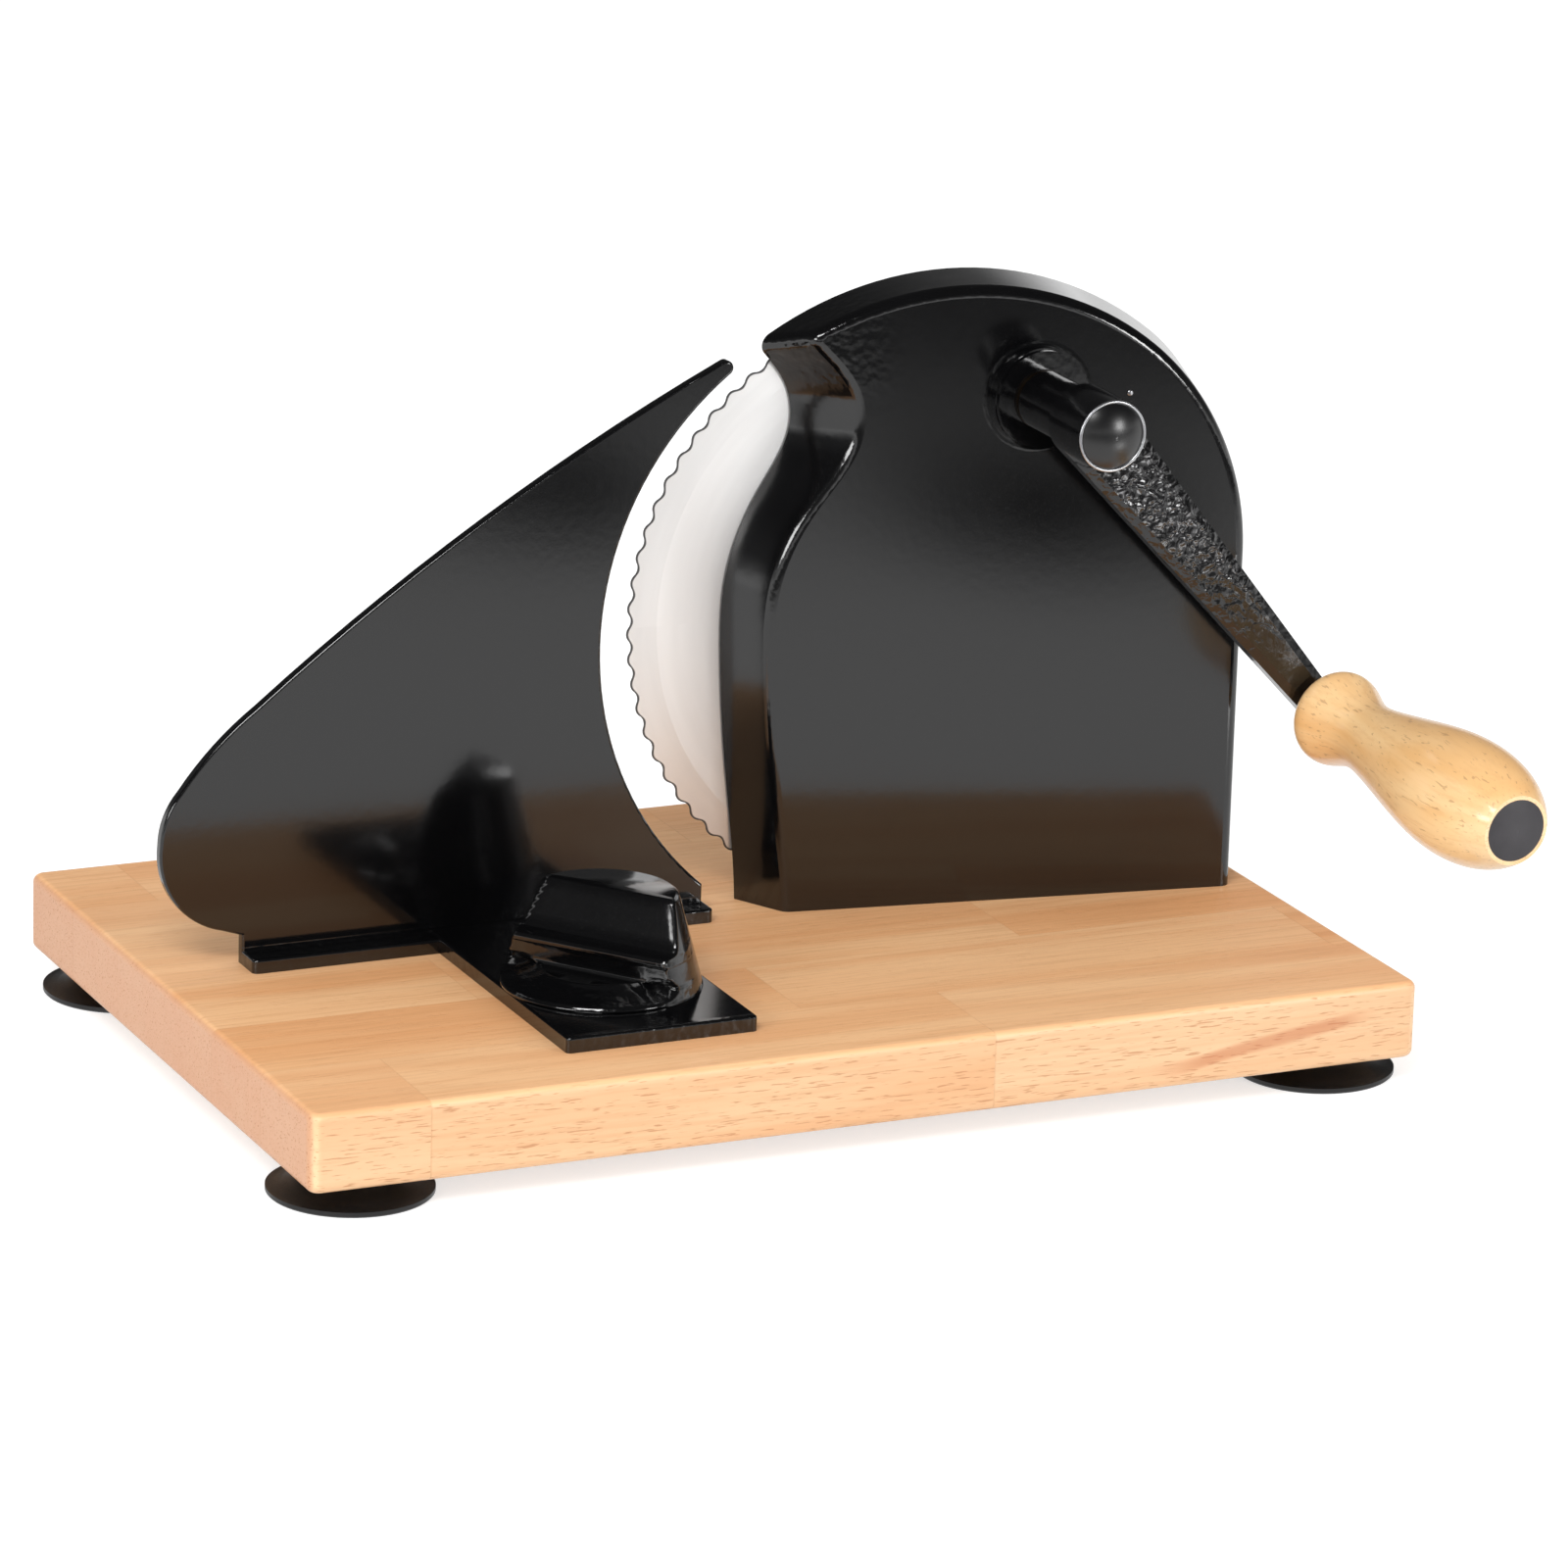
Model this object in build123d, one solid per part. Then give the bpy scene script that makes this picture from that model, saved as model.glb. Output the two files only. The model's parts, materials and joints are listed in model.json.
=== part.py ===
from build123d import *
import os
from math import acos, cos, pi, radians, sin, sqrt, tan

# Hand cranked bread slicer, in millimetres. X runs along the board, Y from the crank's side to the
# loaf's side, Z up. Heights named "..._height" are measured from the board's top face.

# ---- clearances -------------------------------------------------------------------------------
fit_gap = 0.05            # radial gap of a pressed or running fit
free_gap = 0.4            # gap between pieces that move past each other
seat_gap = 0.1            # gap between a piece and the face it bears on

# ---- board and feet ---------------------------------------------------------------------------
board_width = 370.0
board_depth = 250.0
board_thickness = 25.0
board_corner = 4.0        # round of the board's upright corners
board_edge = 2.5          # round of its top and bottom edges
foot_height = 9.0         # board's underside above the table
foot_radius = 25.5
foot_inset_x = 22.6
foot_inset_y = 25.4
foot_rim = 1.8            # thickness of the sucker's rim
foot_neck = 13.0          # radius where the sucker meets the board
foot_hollow = 4.2         # depth of the hollow under the sucker
foot_contact = 4.0        # width of the ring that touches the table
foot_screw_radius = 2.0
foot_screw_length = 16.0
foot_head_radius = 4.5
foot_head_height = 2.2

# ---- blade ------------------------------------------------------------------------------------
blade_radius = 98.0
blade_thickness = 1.2
blade_x = 76.0
blade_dip = 5.0           # how far the blade reaches below the board's top
blade_height = blade_radius - blade_dip
blade_front = 24.3        # Y of the blade's crank-side face
wave_count = 72
wave_depth = 1.5
bevel_width = 10.0
bevel_edge = 0.35         # thickness left at the cutting edge
blade_gap = 0.7           # between the housing's back and the blade
slot_margin = 3.0         # blade slot in the board, beyond the blade
slot_depth_margin = 2.5

# ---- gears ------------------------------------------------------------------------------------
gear_module = 1.5
gear_teeth = 70
pinion_teeth = 34
gear_width = 7.0
gear_front = 11.0         # Y of the gears' crank-side faces
gear_backlash = 0.22
pressure_angle = 20.0
gear_hub_radius = 20.0
gear_web = 3.0            # thickness of the gear between its rim and its hub
gear_rim = 6.0
crank_bearing = 69.4      # direction of the crank's axis seen from the blade's, from +X towards +Z

# ---- housing ----------------------------------------------------------------------------------
front_arch_radius = 95.3  # the arch where the front face cuts it
front_arch_x = 79.5
front_arch_height = 107.0
back_arch_radius = 118.8  # the arch's back edge: a wide arc over the top, a tighter shoulder at the right
back_arch_crown = 201.9    # the back edge's top above the board
back_arch_right = 180.8235
shoulder_angle = 51.6     # where the shoulder starts, from +X towards +Z
shoulder_radius = 60.0
back_arch_height = back_arch_crown - back_arch_radius
shoulder_shift = (back_arch_radius - shoulder_radius) * cos(radians(shoulder_angle))
back_arch_x = back_arch_right - shoulder_radius - shoulder_shift
face_x = 80.5             # where the housing's depth is measured
housing_depth = 26.6      # from its back to its front face, at face_x
front_angle = 8.8         # the front face turns this much, deeper towards the right
wall = 4.0
arch_foot = 107.0         # height where the arch's left end starts, in the part the deflector cuts off
front_round = 3.5         # round between the front face and the top wall
deflector_lean = 10.0     # the deflector's front edge lies this far right of its rear edge
deflector_flare = 5.0     # more lean at the top
deflector_edge = 4.0      # round of the deflector's front edge
boss_radius = 16.5
boss_length = 4.3         # beyond the front face, on the crank's axis
boss_step = 0.9
cover_thickness = 2.0
cover_depth = 2.0         # cover's outer face, in from the housing's back
cover_boss_radius = 5.0
screw_radius = 2.0
screw_head_radius = 3.8
screw_head_height = 1.8
foot_boss_radius = 6.5
foot_boss_height = 18.0
housing_screw_length = 30.0
screw_sink = 7.0          # depth of the screw heads' pockets in the board's underside

# ---- stud and shaft ---------------------------------------------------------------------------
stud_radius = 8.0
stud_thread = 5.0
bush_wall = 2.5
nut_radius = 11.0
nut_height = 6.0
washer_radius = 11.5
washer_thickness = 1.5
shaft_radius = 6.0
pin_radius = 1.5
clip_radius = 8.5
clip_thickness = 1.1
bush_flange = 1.5
blade_screw_count = 3
blade_screw_circle = 16.0

# ---- crank ------------------------------------------------------------------------------------
sleeve_radius = 9.5
sleeve_length = 24.5
hub_radius = 11.5
hub_length = 22.0
hub_rim = 0.9             # thickness of the hub's rim round the cap
cap_dome = 3.6
cap_depth = 2.0
crank_radius = 133.4
crank_angle = -49.0       # the arm's direction at rest, from +X towards +Z
arm_thickness = 8.5
arm_set_back = 13.5       # arm's front face behind the hub's front
arm_width_hub = 23.4
arm_width_end = 11.4
arm_bevel = 2.8
crank_nut_radius = 8.0
crank_nut_height = 5.0

# ---- handle -----------------------------------------------------------------------------------
handle_lean = 5.2         # the spindle leans outward from the crank's axis
spindle_radius = 3.0
spindle_collar_radius = 7.5
spindle_collar = 1.4
handle_length = 110.0
handle_collar = 15.4
handle_neck = 11.4
handle_body = 19.5
handle_end = 11.3
end_cap_radius = 10.0
end_cap_depth = 4.0
end_cap_dome = 1.4
spindle_nut_radius = 6.0
spindle_nut_height = 4.5
nut_pocket = 16.0         # depth of the pocket in the grip's end
handle_bush_wall = 1.5

# ---- stop plate -------------------------------------------------------------------------------
plate_front = 13.5        # Y of the plate's crank-side face
plate_thickness = 4.0
plate_arc_radius = 107.5
plate_arc_x = 71.9
plate_arc_height = 90.5
plate_tip = 2.4           # round of the plate's tip
plate_tip_angle = 127.4   # where the arc ends, from +X towards +Z
plate_round = 0.9         # round of the plate's edges
plate_left = -181.4
plate_top_bow = (-74.5, 136.3)   # a point of the long top edge, X and height
plate_left_curve = [(31.4, 82.4), (17.9, 70.9), (6.6, 57.6), (1.8, 49.8), (0.0, 40.8), (6.0, 20.6),
                    (20.6, 11.6)]
plate_lobe_height = 9.5   # underside of the plate's left lobe
flange_left = -154.4
flange_right = 1.0
flange_depth = 10.0
flange_thickness = 4.5
tongue_left = -92.5
tongue_right = -29.5
tongue_front = -98.5
tongue_thickness = 5.0
tongue_corner = 1.5
open_travel = 8.5         # further open than at rest
close_travel = 6.5        # further closed than at rest

# ---- adjuster ---------------------------------------------------------------------------------
knob_x = -62.0
knob_y = -52.5
knob_radius = 26.5
knob_skirt = 6.0
knob_dish = 1.6
knob_bar_angle = -45.0
knob_bar_length = 49.0
knob_bar_top_length = 43.0
knob_bar_width = 21.0
knob_bar_top_width = 12.0
knob_height = 30.0
knob_turn_range = 270.0   # turn of the knob over the whole travel
cam_radius = 26.5
cam_thickness = 4.5
cam_pin_radius = 2.0
cam_pin_reach = 16.0      # distance from the knob's axis to the pin at rest
cam_groove_depth = 3.0
pocket_depth = 6.0
pin_sunk = 7.0            # length of the pin in the board
slide_pocket = 11.0       # depth of the washer's pocket under the board
knob_ledge = 5.5          # height of the bar's ledge above the skirt
knob_spindle_radius = 4.0
insert_radius = 6.5
insert_height = 12.0
slide_washer_radius = 10.0
slide_washer_thickness = 1.8
slide_nut_radius = 7.5
slide_nut_height = 5.5
key_width = 8.0
key_depth = 4.0
key_front = -8.0
key_back = 8.0
key_screw_radius = 1.5

# ---- worked out from the sizes above ----------------------------------------------------------
board_top = foot_height + board_thickness
blade_z = board_top + blade_height
housing_back = blade_front - blade_gap
housing_front = housing_back - housing_depth
centre_distance = gear_module * (gear_teeth + pinion_teeth) / 2
crank_x = blade_x + centre_distance * cos(radians(crank_bearing))
crank_z = blade_z + centre_distance * sin(radians(crank_bearing))
front_slope = tan(radians(front_angle))
right_front = front_arch_x + front_arch_radius
gear_back = gear_front + gear_width
cover_back = housing_back - cover_depth
cover_front = cover_back - cover_thickness
plate_back = plate_front + plate_thickness
slide_ceiling = foot_height + slide_pocket
cam_low = board_top - cam_thickness - seat_gap


def front_face(x):
    """Y of the housing's front face at x."""
    return housing_front - front_slope * (x - face_x)


boss_front = front_face(crank_x) - boss_length
sleeve_front = boss_front - bush_flange - seat_gap - sleeve_length
hub_front = sleeve_front - seat_gap - hub_length
nut_room = crank_nut_height + 1.0
arm_front = hub_front + arm_set_back
arm_back = arm_front + arm_thickness
arm_middle = arm_front + arm_thickness / 2
arm_way = Vector(cos(radians(crank_angle)), 0, sin(radians(crank_angle)))
spindle_way = (Vector(0, -1, 0) * cos(radians(handle_lean)) + arm_way * sin(radians(handle_lean)))
spindle_foot = Vector(crank_x, arm_middle, crank_z) + arm_way * crank_radius
travel_per_degree = (open_travel + close_travel) / knob_turn_range
knob_open_turn = -open_travel / travel_per_degree
knob_close_turn = close_travel / travel_per_degree


# ---- shared shapes ----------------------------------------------------------------------------
def upright(sketch, y_front, y_back):
    """A sketch drawn in X and Z, as a plate from y_front to y_back."""
    return extrude(Plane.XZ.offset(-y_back) * sketch, amount=y_back - y_front)


def rod(radius, x, z, y_front, y_back):
    """A round bar along Y."""
    return upright(Pos(x, z) * Circle(radius), y_front, y_back)


def disc(radius, x, y, low, high):
    """A round bar along Z."""
    return Pos(x, y, low) * Cylinder(radius, high - low, align=(Align.CENTER, Align.CENTER, Align.MIN))


def along(start, way, profile):
    """A solid turned about the line from start along way; profile holds (distance, radius)."""
    frame = Plane(origin=start, z_dir=way)
    points = [(r, s) for s, r in profile]
    outline = Polyline([(0, profile[0][0])] + points + [(0, profile[-1][0])], close=True)
    return frame * revolve(Plane.XZ * make_face(outline), Axis.Z)


def hexagon(radius, bore):
    return RegularPolygon(radius, 6) - Circle(bore)


# ---- feet -------------------------------------------------------------------------------------
foot_places = {
    "fl": (-board_width / 2 + foot_inset_x, -board_depth / 2 + foot_inset_y),
    "fr": (board_width / 2 - foot_inset_x, -board_depth / 2 + foot_inset_y),
    "bl": (-board_width / 2 + foot_inset_x, board_depth / 2 - foot_inset_y),
    "br": (board_width / 2 - foot_inset_x, board_depth / 2 - foot_inset_y),
}


def suction_foot(x, y):
    """A rubber sucker: a thin rim, a waisted dome up to the board, and a hollow underside."""
    outside = Spline((foot_radius, foot_rim), (foot_neck + 3.5, foot_height * 0.5),
                     (foot_neck, foot_height))
    hollow = Spline((foot_radius - foot_contact, 0), (foot_radius * 0.5, foot_hollow * 0.8),
                    (foot_head_radius + 1, foot_hollow))
    edges = [
        Line((foot_radius - foot_contact, 0), (foot_radius - 0.5, 0)),
        Line((foot_radius - 0.5, 0), (foot_radius, 0.5)),
        Line((foot_radius, 0.5), (foot_radius, foot_rim)),
        outside,
        Line((foot_neck, foot_height), (foot_screw_radius + fit_gap, foot_height)),
        Line((foot_screw_radius + fit_gap, foot_height), (foot_screw_radius + fit_gap, foot_hollow)),
        Line((foot_screw_radius + fit_gap, foot_hollow), (foot_head_radius + 1, foot_hollow)),
        hollow,
    ]
    return Pos(x, y, 0) * revolve(Plane.XZ * make_face(Wire(edges)), Axis.Z)


def foot_screw(x, y):
    shank = disc(foot_screw_radius, x, y, foot_hollow, foot_hollow + foot_screw_length)
    return shank + disc(foot_head_radius, x, y, foot_hollow - foot_head_height, foot_hollow)


# ---- housing ----------------------------------------------------------------------------------
rear_edge_points = [(20.0, 181.5), (30.4, 167.0), (31.8, 156.0), (21.4, 134.5), (10.4, 104.0), (9.8, 84.0),
                    (12.5, 45.0), (17.0, 0.0)]


def edge_at(y, shift):
    """The deflector's edge in the plane at y, moved right by shift."""
    reach = (housing_back - y) / (housing_back - front_face(rear_edge_points[2][0]))
    points = []
    for x, height in rear_edge_points:
        high = max(0.0, height - plate_arc_height) / plate_arc_height
        lean = deflector_lean + deflector_flare * high * high
        points.append((x + lean * reach + shift, board_top + height))
    top = points[0]
    bottom = points[-1]
    points = [(top[0] - 12.0, top[1] + 16.0)] + points + [(bottom[0], bottom[1] - 12.0)]
    return points


def left_of_edge(shift):
    """The space left of the deflector, to be cut from the housing."""
    sections = []
    for y in (housing_back + 2.0, housing_back - housing_depth - 6.0):
        points = edge_at(y, shift)
        low = points[-1]
        high = points[0]
        far = -60.0
        border = Polyline(high, (far, high[1]), (far, low[1]), low)
        sections.append(Plane.XZ.offset(-y) * make_face(Wire([Spline(*points), *border.edges()])))
    return loft(sections, ruled=True)


def arch_outline(inset, x, height, radius, shoulder):
    """The arch from the front, drawn in by inset: left side, wide arc, shoulder arc, right wall, floor."""
    left = -20.0
    low = board_top + inset
    middle = board_top + height
    wide = radius - inset
    tight = shoulder - inset
    turn = radians(shoulder_angle)
    centre = (x + (radius - shoulder) * cos(turn), middle + (radius - shoulder) * sin(turn))
    foot = (x - sqrt(wide ** 2 - (arch_foot - height) ** 2), board_top + arch_foot)
    start = (x + wide * cos(turn), middle + wide * sin(turn))
    end = (centre[0] + tight, centre[1])
    half = (centre[0] + tight * cos(turn / 2), centre[1] + tight * sin(turn / 2))
    return make_face([
        Line((left, low), (end[0], low)),
        Line((end[0], low), end),
        ThreePointArc(end, half, start),
        ThreePointArc(start, (x, middle + wide), foot),
        Line(foot, (left, foot[1])),
        Line((left, foot[1]), (left, low)),
    ])


def arch_block(inset):
    """The whole arched body, wider at its back, drawn in by inset."""
    shoulder = front_arch_radius * 0.98
    front = arch_outline(inset, front_arch_x, front_arch_height, front_arch_radius, shoulder)
    back = arch_outline(inset, back_arch_x, back_arch_height, back_arch_radius, shoulder_radius)
    y_front = front_face(right_front) - 2.0
    return loft([Plane.XZ.offset(-housing_back) * back, Plane.XZ.offset(-y_front) * front], ruled=True)


def slab(y_front, y_back):
    """Everything between two upright planes across the whole slicer."""
    return upright(Pos(0, blade_z) * Rectangle(600, 600), y_front, y_back)


def before_face(offset):
    """The space in front of the housing's slanting front face, moved back by offset."""
    turn = radians(front_angle)
    start = Plane(origin=(face_x, housing_front + offset / cos(turn), blade_z),
                  x_dir=(cos(turn), -sin(turn), 0), z_dir=(-sin(turn), -cos(turn), 0))
    return extrude(start * Rectangle(600, 600), amount=60.0)


cover_screw_places = [(44.0, 24.0), (158.0, 24.0), (158.0, 118.0), (52.0, 168.0)]
housing_screw_places = [(44.0, 9.0), (104.0, 9.0), (160.0, 4.0)]


def gear_housing():
    """The casting: slanting front face, top wall, deflector, open back, and bosses inside."""
    body = arch_block(0) - before_face(0) - left_of_edge(0)
    body = fillet([e for e in body.edges() if on_front(e) and on_arch(e)], front_round)
    body = fillet([e for e in body.edges() if on_front(e) and on_deflector(e)], deflector_edge)
    body -= arch_block(wall) - before_face(wall) - left_of_edge(wall)
    solid = arch_block(wall / 2) - before_face(wall / 2) - left_of_edge(wall / 2)
    bosses = [rod(boss_radius, crank_x, crank_z, front_face(crank_x) - 1, gear_front - 1.5)]
    bosses.append(rod(stud_radius + wall, blade_x, blade_z, front_face(blade_x) + 1, gear_front - 1.0))
    for x, height in cover_screw_places:
        bosses.append(rod(cover_boss_radius, x, board_top + height, front_face(x) + 1, cover_front))
    for x, y in housing_screw_places:
        bosses.append(disc(foot_boss_radius, x, y, board_top + 1, board_top + foot_boss_height))
    for boss in bosses:
        body += boss & solid
    body += rod(boss_radius, crank_x, crank_z, boss_front + boss_step, front_face(crank_x) + 4)
    body += rod(boss_radius - boss_step, crank_x, crank_z, boss_front, boss_front + boss_step)
    body -= rod(shaft_radius + bush_wall + fit_gap, crank_x, crank_z, boss_front - 1, gear_front)
    body -= rod(stud_radius + fit_gap, blade_x, blade_z, front_face(blade_x) + 2.5, gear_front)
    for x, height in cover_screw_places:
        body -= rod(screw_radius + fit_gap, x, board_top + height, cover_front - 10, cover_front)
    for x, y in housing_screw_places:
        body -= disc(screw_radius + fit_gap, x, y, board_top, board_top + foot_boss_height - 3)
    return body


def on_front(edge):
    middle = edge.position_at(0.5)
    return abs(middle.Y - front_face(middle.X)) < 0.05


def on_arch(edge):
    middle = edge.position_at(0.5)
    return middle.Z > board_top + 1 and middle.X > face_x / 2


def on_deflector(edge):
    middle = edge.position_at(0.5)
    return edge.length > arch_foot and middle.X < face_x / 2


def housing_screw(x, y):
    """A screw up through the board into the housing's floor, its head let into the board."""
    head_low = foot_height + screw_sink
    shank = disc(screw_radius, x, y, head_low, head_low + housing_screw_length)
    return shank + disc(screw_head_radius, x, y, head_low - screw_head_height, head_low)


def rear_cover():
    """The steel plate behind the gears, shaped to the housing's inside; the shaft's end turns in it."""
    inset = wall + free_gap
    cover = (arch_block(inset) & slab(cover_front, cover_back)) - left_of_edge(inset)
    cover -= rod(gear_hub_radius + free_gap * 2, blade_x, blade_z, cover_front - 1, cover_back + 1)
    cover -= rod(shaft_radius + fit_gap, crank_x, crank_z, cover_front - 1, cover_back + 1)
    for x, height in cover_screw_places:
        cover -= rod(screw_radius + fit_gap, x, board_top + height, cover_front - 1, cover_back + 1)
    return cover


def cover_screw(x, height):
    z = board_top + height
    shank = rod(screw_radius, x, z, cover_front - 8.0, cover_back)
    return shank + rod(screw_head_radius, x, z, cover_back, cover_back + screw_head_height)


# ---- board ------------------------------------------------------------------------------------
def guide_slot(radius, low, high):
    """A slot along Y that lets a round piece of the adjuster follow the stop plate."""
    front = knob_y - open_travel
    back = knob_y + close_travel
    length = back - front
    slot = Pos(knob_x, (front + back) / 2) * Rot(0, 0, 90) * SlotCenterToCenter(length, 2 * radius)
    return extrude(Pos(0, 0, low) * slot, amount=high - low)


def base_board():
    board = Pos(0, 0, foot_height) * Box(board_width, board_depth, board_thickness,
                                         align=(Align.CENTER, Align.CENTER, Align.MIN))
    board = fillet(board.edges().filter_by(Axis.Z), board_corner)
    board = fillet(board.faces().sort_by(Axis.Z)[-1].edges(), board_edge)
    board = fillet(board.faces().sort_by(Axis.Z)[0].edges(), board_edge)
    half_slot = sqrt((blade_radius + slot_margin) ** 2 - blade_height ** 2)
    slot_low = board_top - blade_dip - slot_depth_margin
    slot_front = blade_front - slot_margin / 2
    slot_back = blade_front + blade_thickness + slot_margin / 2
    board -= Pos(blade_x, (slot_front + slot_back) / 2, slot_low) * Box(
        2 * half_slot, slot_back - slot_front, board_thickness,
        align=(Align.CENTER, Align.CENTER, Align.MIN))
    board -= guide_slot(cam_radius + free_gap * 1.5, board_top - pocket_depth, board_top + 1)
    board -= guide_slot(knob_spindle_radius + free_gap, foot_height - 1, board_top)
    board -= guide_slot(slide_washer_radius + free_gap, foot_height - 1, foot_height + slide_pocket)
    groove_front = key_front - open_travel - free_gap
    groove_back = key_back + close_travel + free_gap
    board -= Pos(knob_x, (groove_front + groove_back) / 2, board_top - key_depth - free_gap) * Box(
        key_width + 2 * seat_gap, groove_back - groove_front, key_depth + 1.5,
        align=(Align.CENTER, Align.CENTER, Align.MIN))
    pin_low = board_top - pocket_depth - pin_sunk
    board -= disc(cam_pin_radius + fit_gap, knob_x, knob_y - cam_pin_reach, pin_low, board_top)
    for x, y in foot_places.values():
        board -= disc(foot_screw_radius + fit_gap, x, y, foot_height, foot_hollow + foot_screw_length + 1)
    for x, y in housing_screw_places:
        board -= disc(screw_radius + fit_gap, x, y, foot_height, board_top + 1)
        board -= disc(screw_head_radius + free_gap, x, y, foot_height - 1, foot_height + screw_sink)
    return board


def cam_pin():
    low = board_top - pocket_depth - pin_sunk
    return disc(cam_pin_radius, knob_x, knob_y - cam_pin_reach, low, cam_low + cam_groove_depth - free_gap)


# ---- blade ------------------------------------------------------------------------------------
def wavy_face():
    """The blade's outline: one round wave after another, on a circle."""
    crest = blade_radius
    trough = blade_radius - wave_depth
    middle = blade_radius - wave_depth / 2
    step = 2 * pi / wave_count
    edges = []
    for n in range(wave_count):
        turns = [(middle, n * step), (crest, (n + 0.25) * step), (middle, (n + 0.5) * step),
                 (trough, (n + 0.75) * step), (middle, (n + 1) * step)]
        spots = [(r * cos(a), r * sin(a)) for r, a in turns]
        edges.append(ThreePointArc(spots[0], spots[1], spots[2]))
        edges.append(ThreePointArc(spots[2], spots[3], spots[4]))
    return make_face(edges)


def blade_disc():
    """A thin disc, ground on the crank's side towards its wavy edge."""
    flat = blade_radius - bevel_width
    thick = blade_thickness
    outline = make_face(Polyline([(0, 0), (0, thick), (flat, thick), (blade_radius + 1, bevel_edge),
                                  (blade_radius + 1, 0)], close=True))
    ground = Plane(origin=(blade_x, blade_front + thick, blade_z), z_dir=(0, -1, 0)) * revolve(
        Plane.XZ * outline, Axis.Z)
    waves = upright(Pos(blade_x, blade_z) * wavy_face(), blade_front - 1, blade_front + thick + 1)
    blade = ground & waves
    bore = stud_radius + bush_wall + free_gap
    blade -= rod(bore, blade_x, blade_z, blade_front - 1, blade_front + thick + 1)
    for x, z in blade_screw_places():
        blade -= rod(screw_radius + fit_gap, x, z, blade_front - 1, blade_front + thick + 1)
    return blade


def blade_screw_places():
    places = []
    for n in range(blade_screw_count):
        angle = radians(90 + n * 360 / blade_screw_count)
        places.append((blade_x + blade_screw_circle * cos(angle),
                       blade_z + blade_screw_circle * sin(angle)))
    return places


def blade_screw(x, z):
    back = blade_front + blade_thickness
    return rod(screw_radius, x, z, blade_front - 7.0, back) + rod(screw_head_radius, x, z, back,
                                                                  back + screw_head_height)


# ---- gears ------------------------------------------------------------------------------------
def gear_outline(teeth, turn):
    """Involute teeth as arcs through three points of each flank, the first tooth pointing at turn."""
    pitch = gear_module * teeth / 2
    base = pitch * cos(radians(pressure_angle))
    tip = pitch + 0.95 * gear_module
    root = pitch - 1.2 * gear_module
    low = max(root, base * 1.003)

    def involute(radius):
        return sqrt((radius / base) ** 2 - 1) - acos(base / radius)

    half = (pi * gear_module / 2 - gear_backlash) / (2 * pitch) + involute(pitch)
    step = 2 * pi / teeth

    def spot(radius, angle):
        return (radius * cos(angle), radius * sin(angle))

    edges = []
    for n in range(teeth):
        centre = radians(turn) + n * step
        rising = [(r, centre - half + involute(r)) for r in (low, (low + tip) / 2, tip)]
        falling = [(r, centre + half - involute(r)) for r in (tip, (low + tip) / 2, low)]
        next_foot = spot(low, centre + step - half + involute(low))
        edges.append(ThreePointArc(*[spot(*p) for p in rising]))
        edges.append(Line(spot(*rising[2]), spot(*falling[0])))
        edges.append(ThreePointArc(*[spot(*p) for p in falling]))
        valley_start = spot(*falling[2])
        valley_middle = spot(root - 0.05, centre + step / 2)
        edges.append(ThreePointArc(valley_start, valley_middle, next_foot))
    return make_face(edges)


def blade_gear():
    """The large gear: toothed rim, thin web and the hub that carries the blade."""
    rim_inside = gear_module * gear_teeth / 2 - 1.2 * gear_module - gear_rim
    gear = upright(Pos(blade_x, blade_z) * gear_outline(gear_teeth, crank_bearing), gear_front, gear_back)
    ring = rod(rim_inside, blade_x, blade_z, gear_front + gear_web, gear_back + 1)
    gear -= ring - rod(gear_hub_radius, blade_x, blade_z, gear_front - 1, gear_back + 2)
    gear += rod(gear_hub_radius, blade_x, blade_z, gear_back - 1, blade_front)
    gear -= rod(stud_radius + bush_wall + fit_gap, blade_x, blade_z, gear_front - 1, blade_front + 1)
    for x, z in blade_screw_places():
        gear -= rod(screw_radius + fit_gap, x, z, blade_front - 8.0, blade_front + 1)
    return gear


def gear_bush():
    back = blade_front + blade_thickness
    bush = rod(stud_radius + bush_wall, blade_x, blade_z, gear_front, back)
    return bush - rod(stud_radius + fit_gap, blade_x, blade_z, gear_front - 1, back + 1)


def blade_stud():
    """The fixed stud: seated in the housing's boss, shouldered and threaded for the blade's nut."""
    nut_back = blade_front + blade_thickness + seat_gap + washer_thickness + nut_height
    front = front_face(blade_x) + 2.5
    stud = rod(stud_radius, blade_x, blade_z, front, blade_front + blade_thickness + seat_gap)
    return stud + rod(stud_thread, blade_x, blade_z, blade_front, nut_back - 1.5)


def blade_washer():
    front = blade_front + blade_thickness + seat_gap
    washer = rod(washer_radius, blade_x, blade_z, front, front + washer_thickness)
    return washer - rod(stud_thread + fit_gap, blade_x, blade_z, front - 1, front + washer_thickness + 1)


def blade_nut():
    """A round cap nut with a slot for a coin."""
    front = blade_front + blade_thickness + seat_gap + washer_thickness
    nut = along(Vector(blade_x, front, blade_z), Vector(0, 1, 0),
                [(0, nut_radius), (nut_height * 0.55, nut_radius), (nut_height, nut_radius - 3.0)])
    nut -= rod(stud_thread + fit_gap, blade_x, blade_z, front - 1, front + nut_height - 1.4)
    slot = Pos(blade_x, front + nut_height, blade_z) * Box(2 * nut_radius, 2.4, 2.2)
    return nut - slot


# ---- crank ------------------------------------------------------------------------------------
def crank_bush():
    """Flanged bronze bush in the housing's boss."""
    bore = rod(shaft_radius + fit_gap, crank_x, crank_z, boss_front - bush_flange - 1, gear_front)
    bush = rod(shaft_radius + bush_wall, crank_x, crank_z, boss_front, gear_front - 1.5)
    flange = rod(sleeve_radius, crank_x, crank_z, boss_front - bush_flange, boss_front)
    return bush + flange - bore


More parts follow.
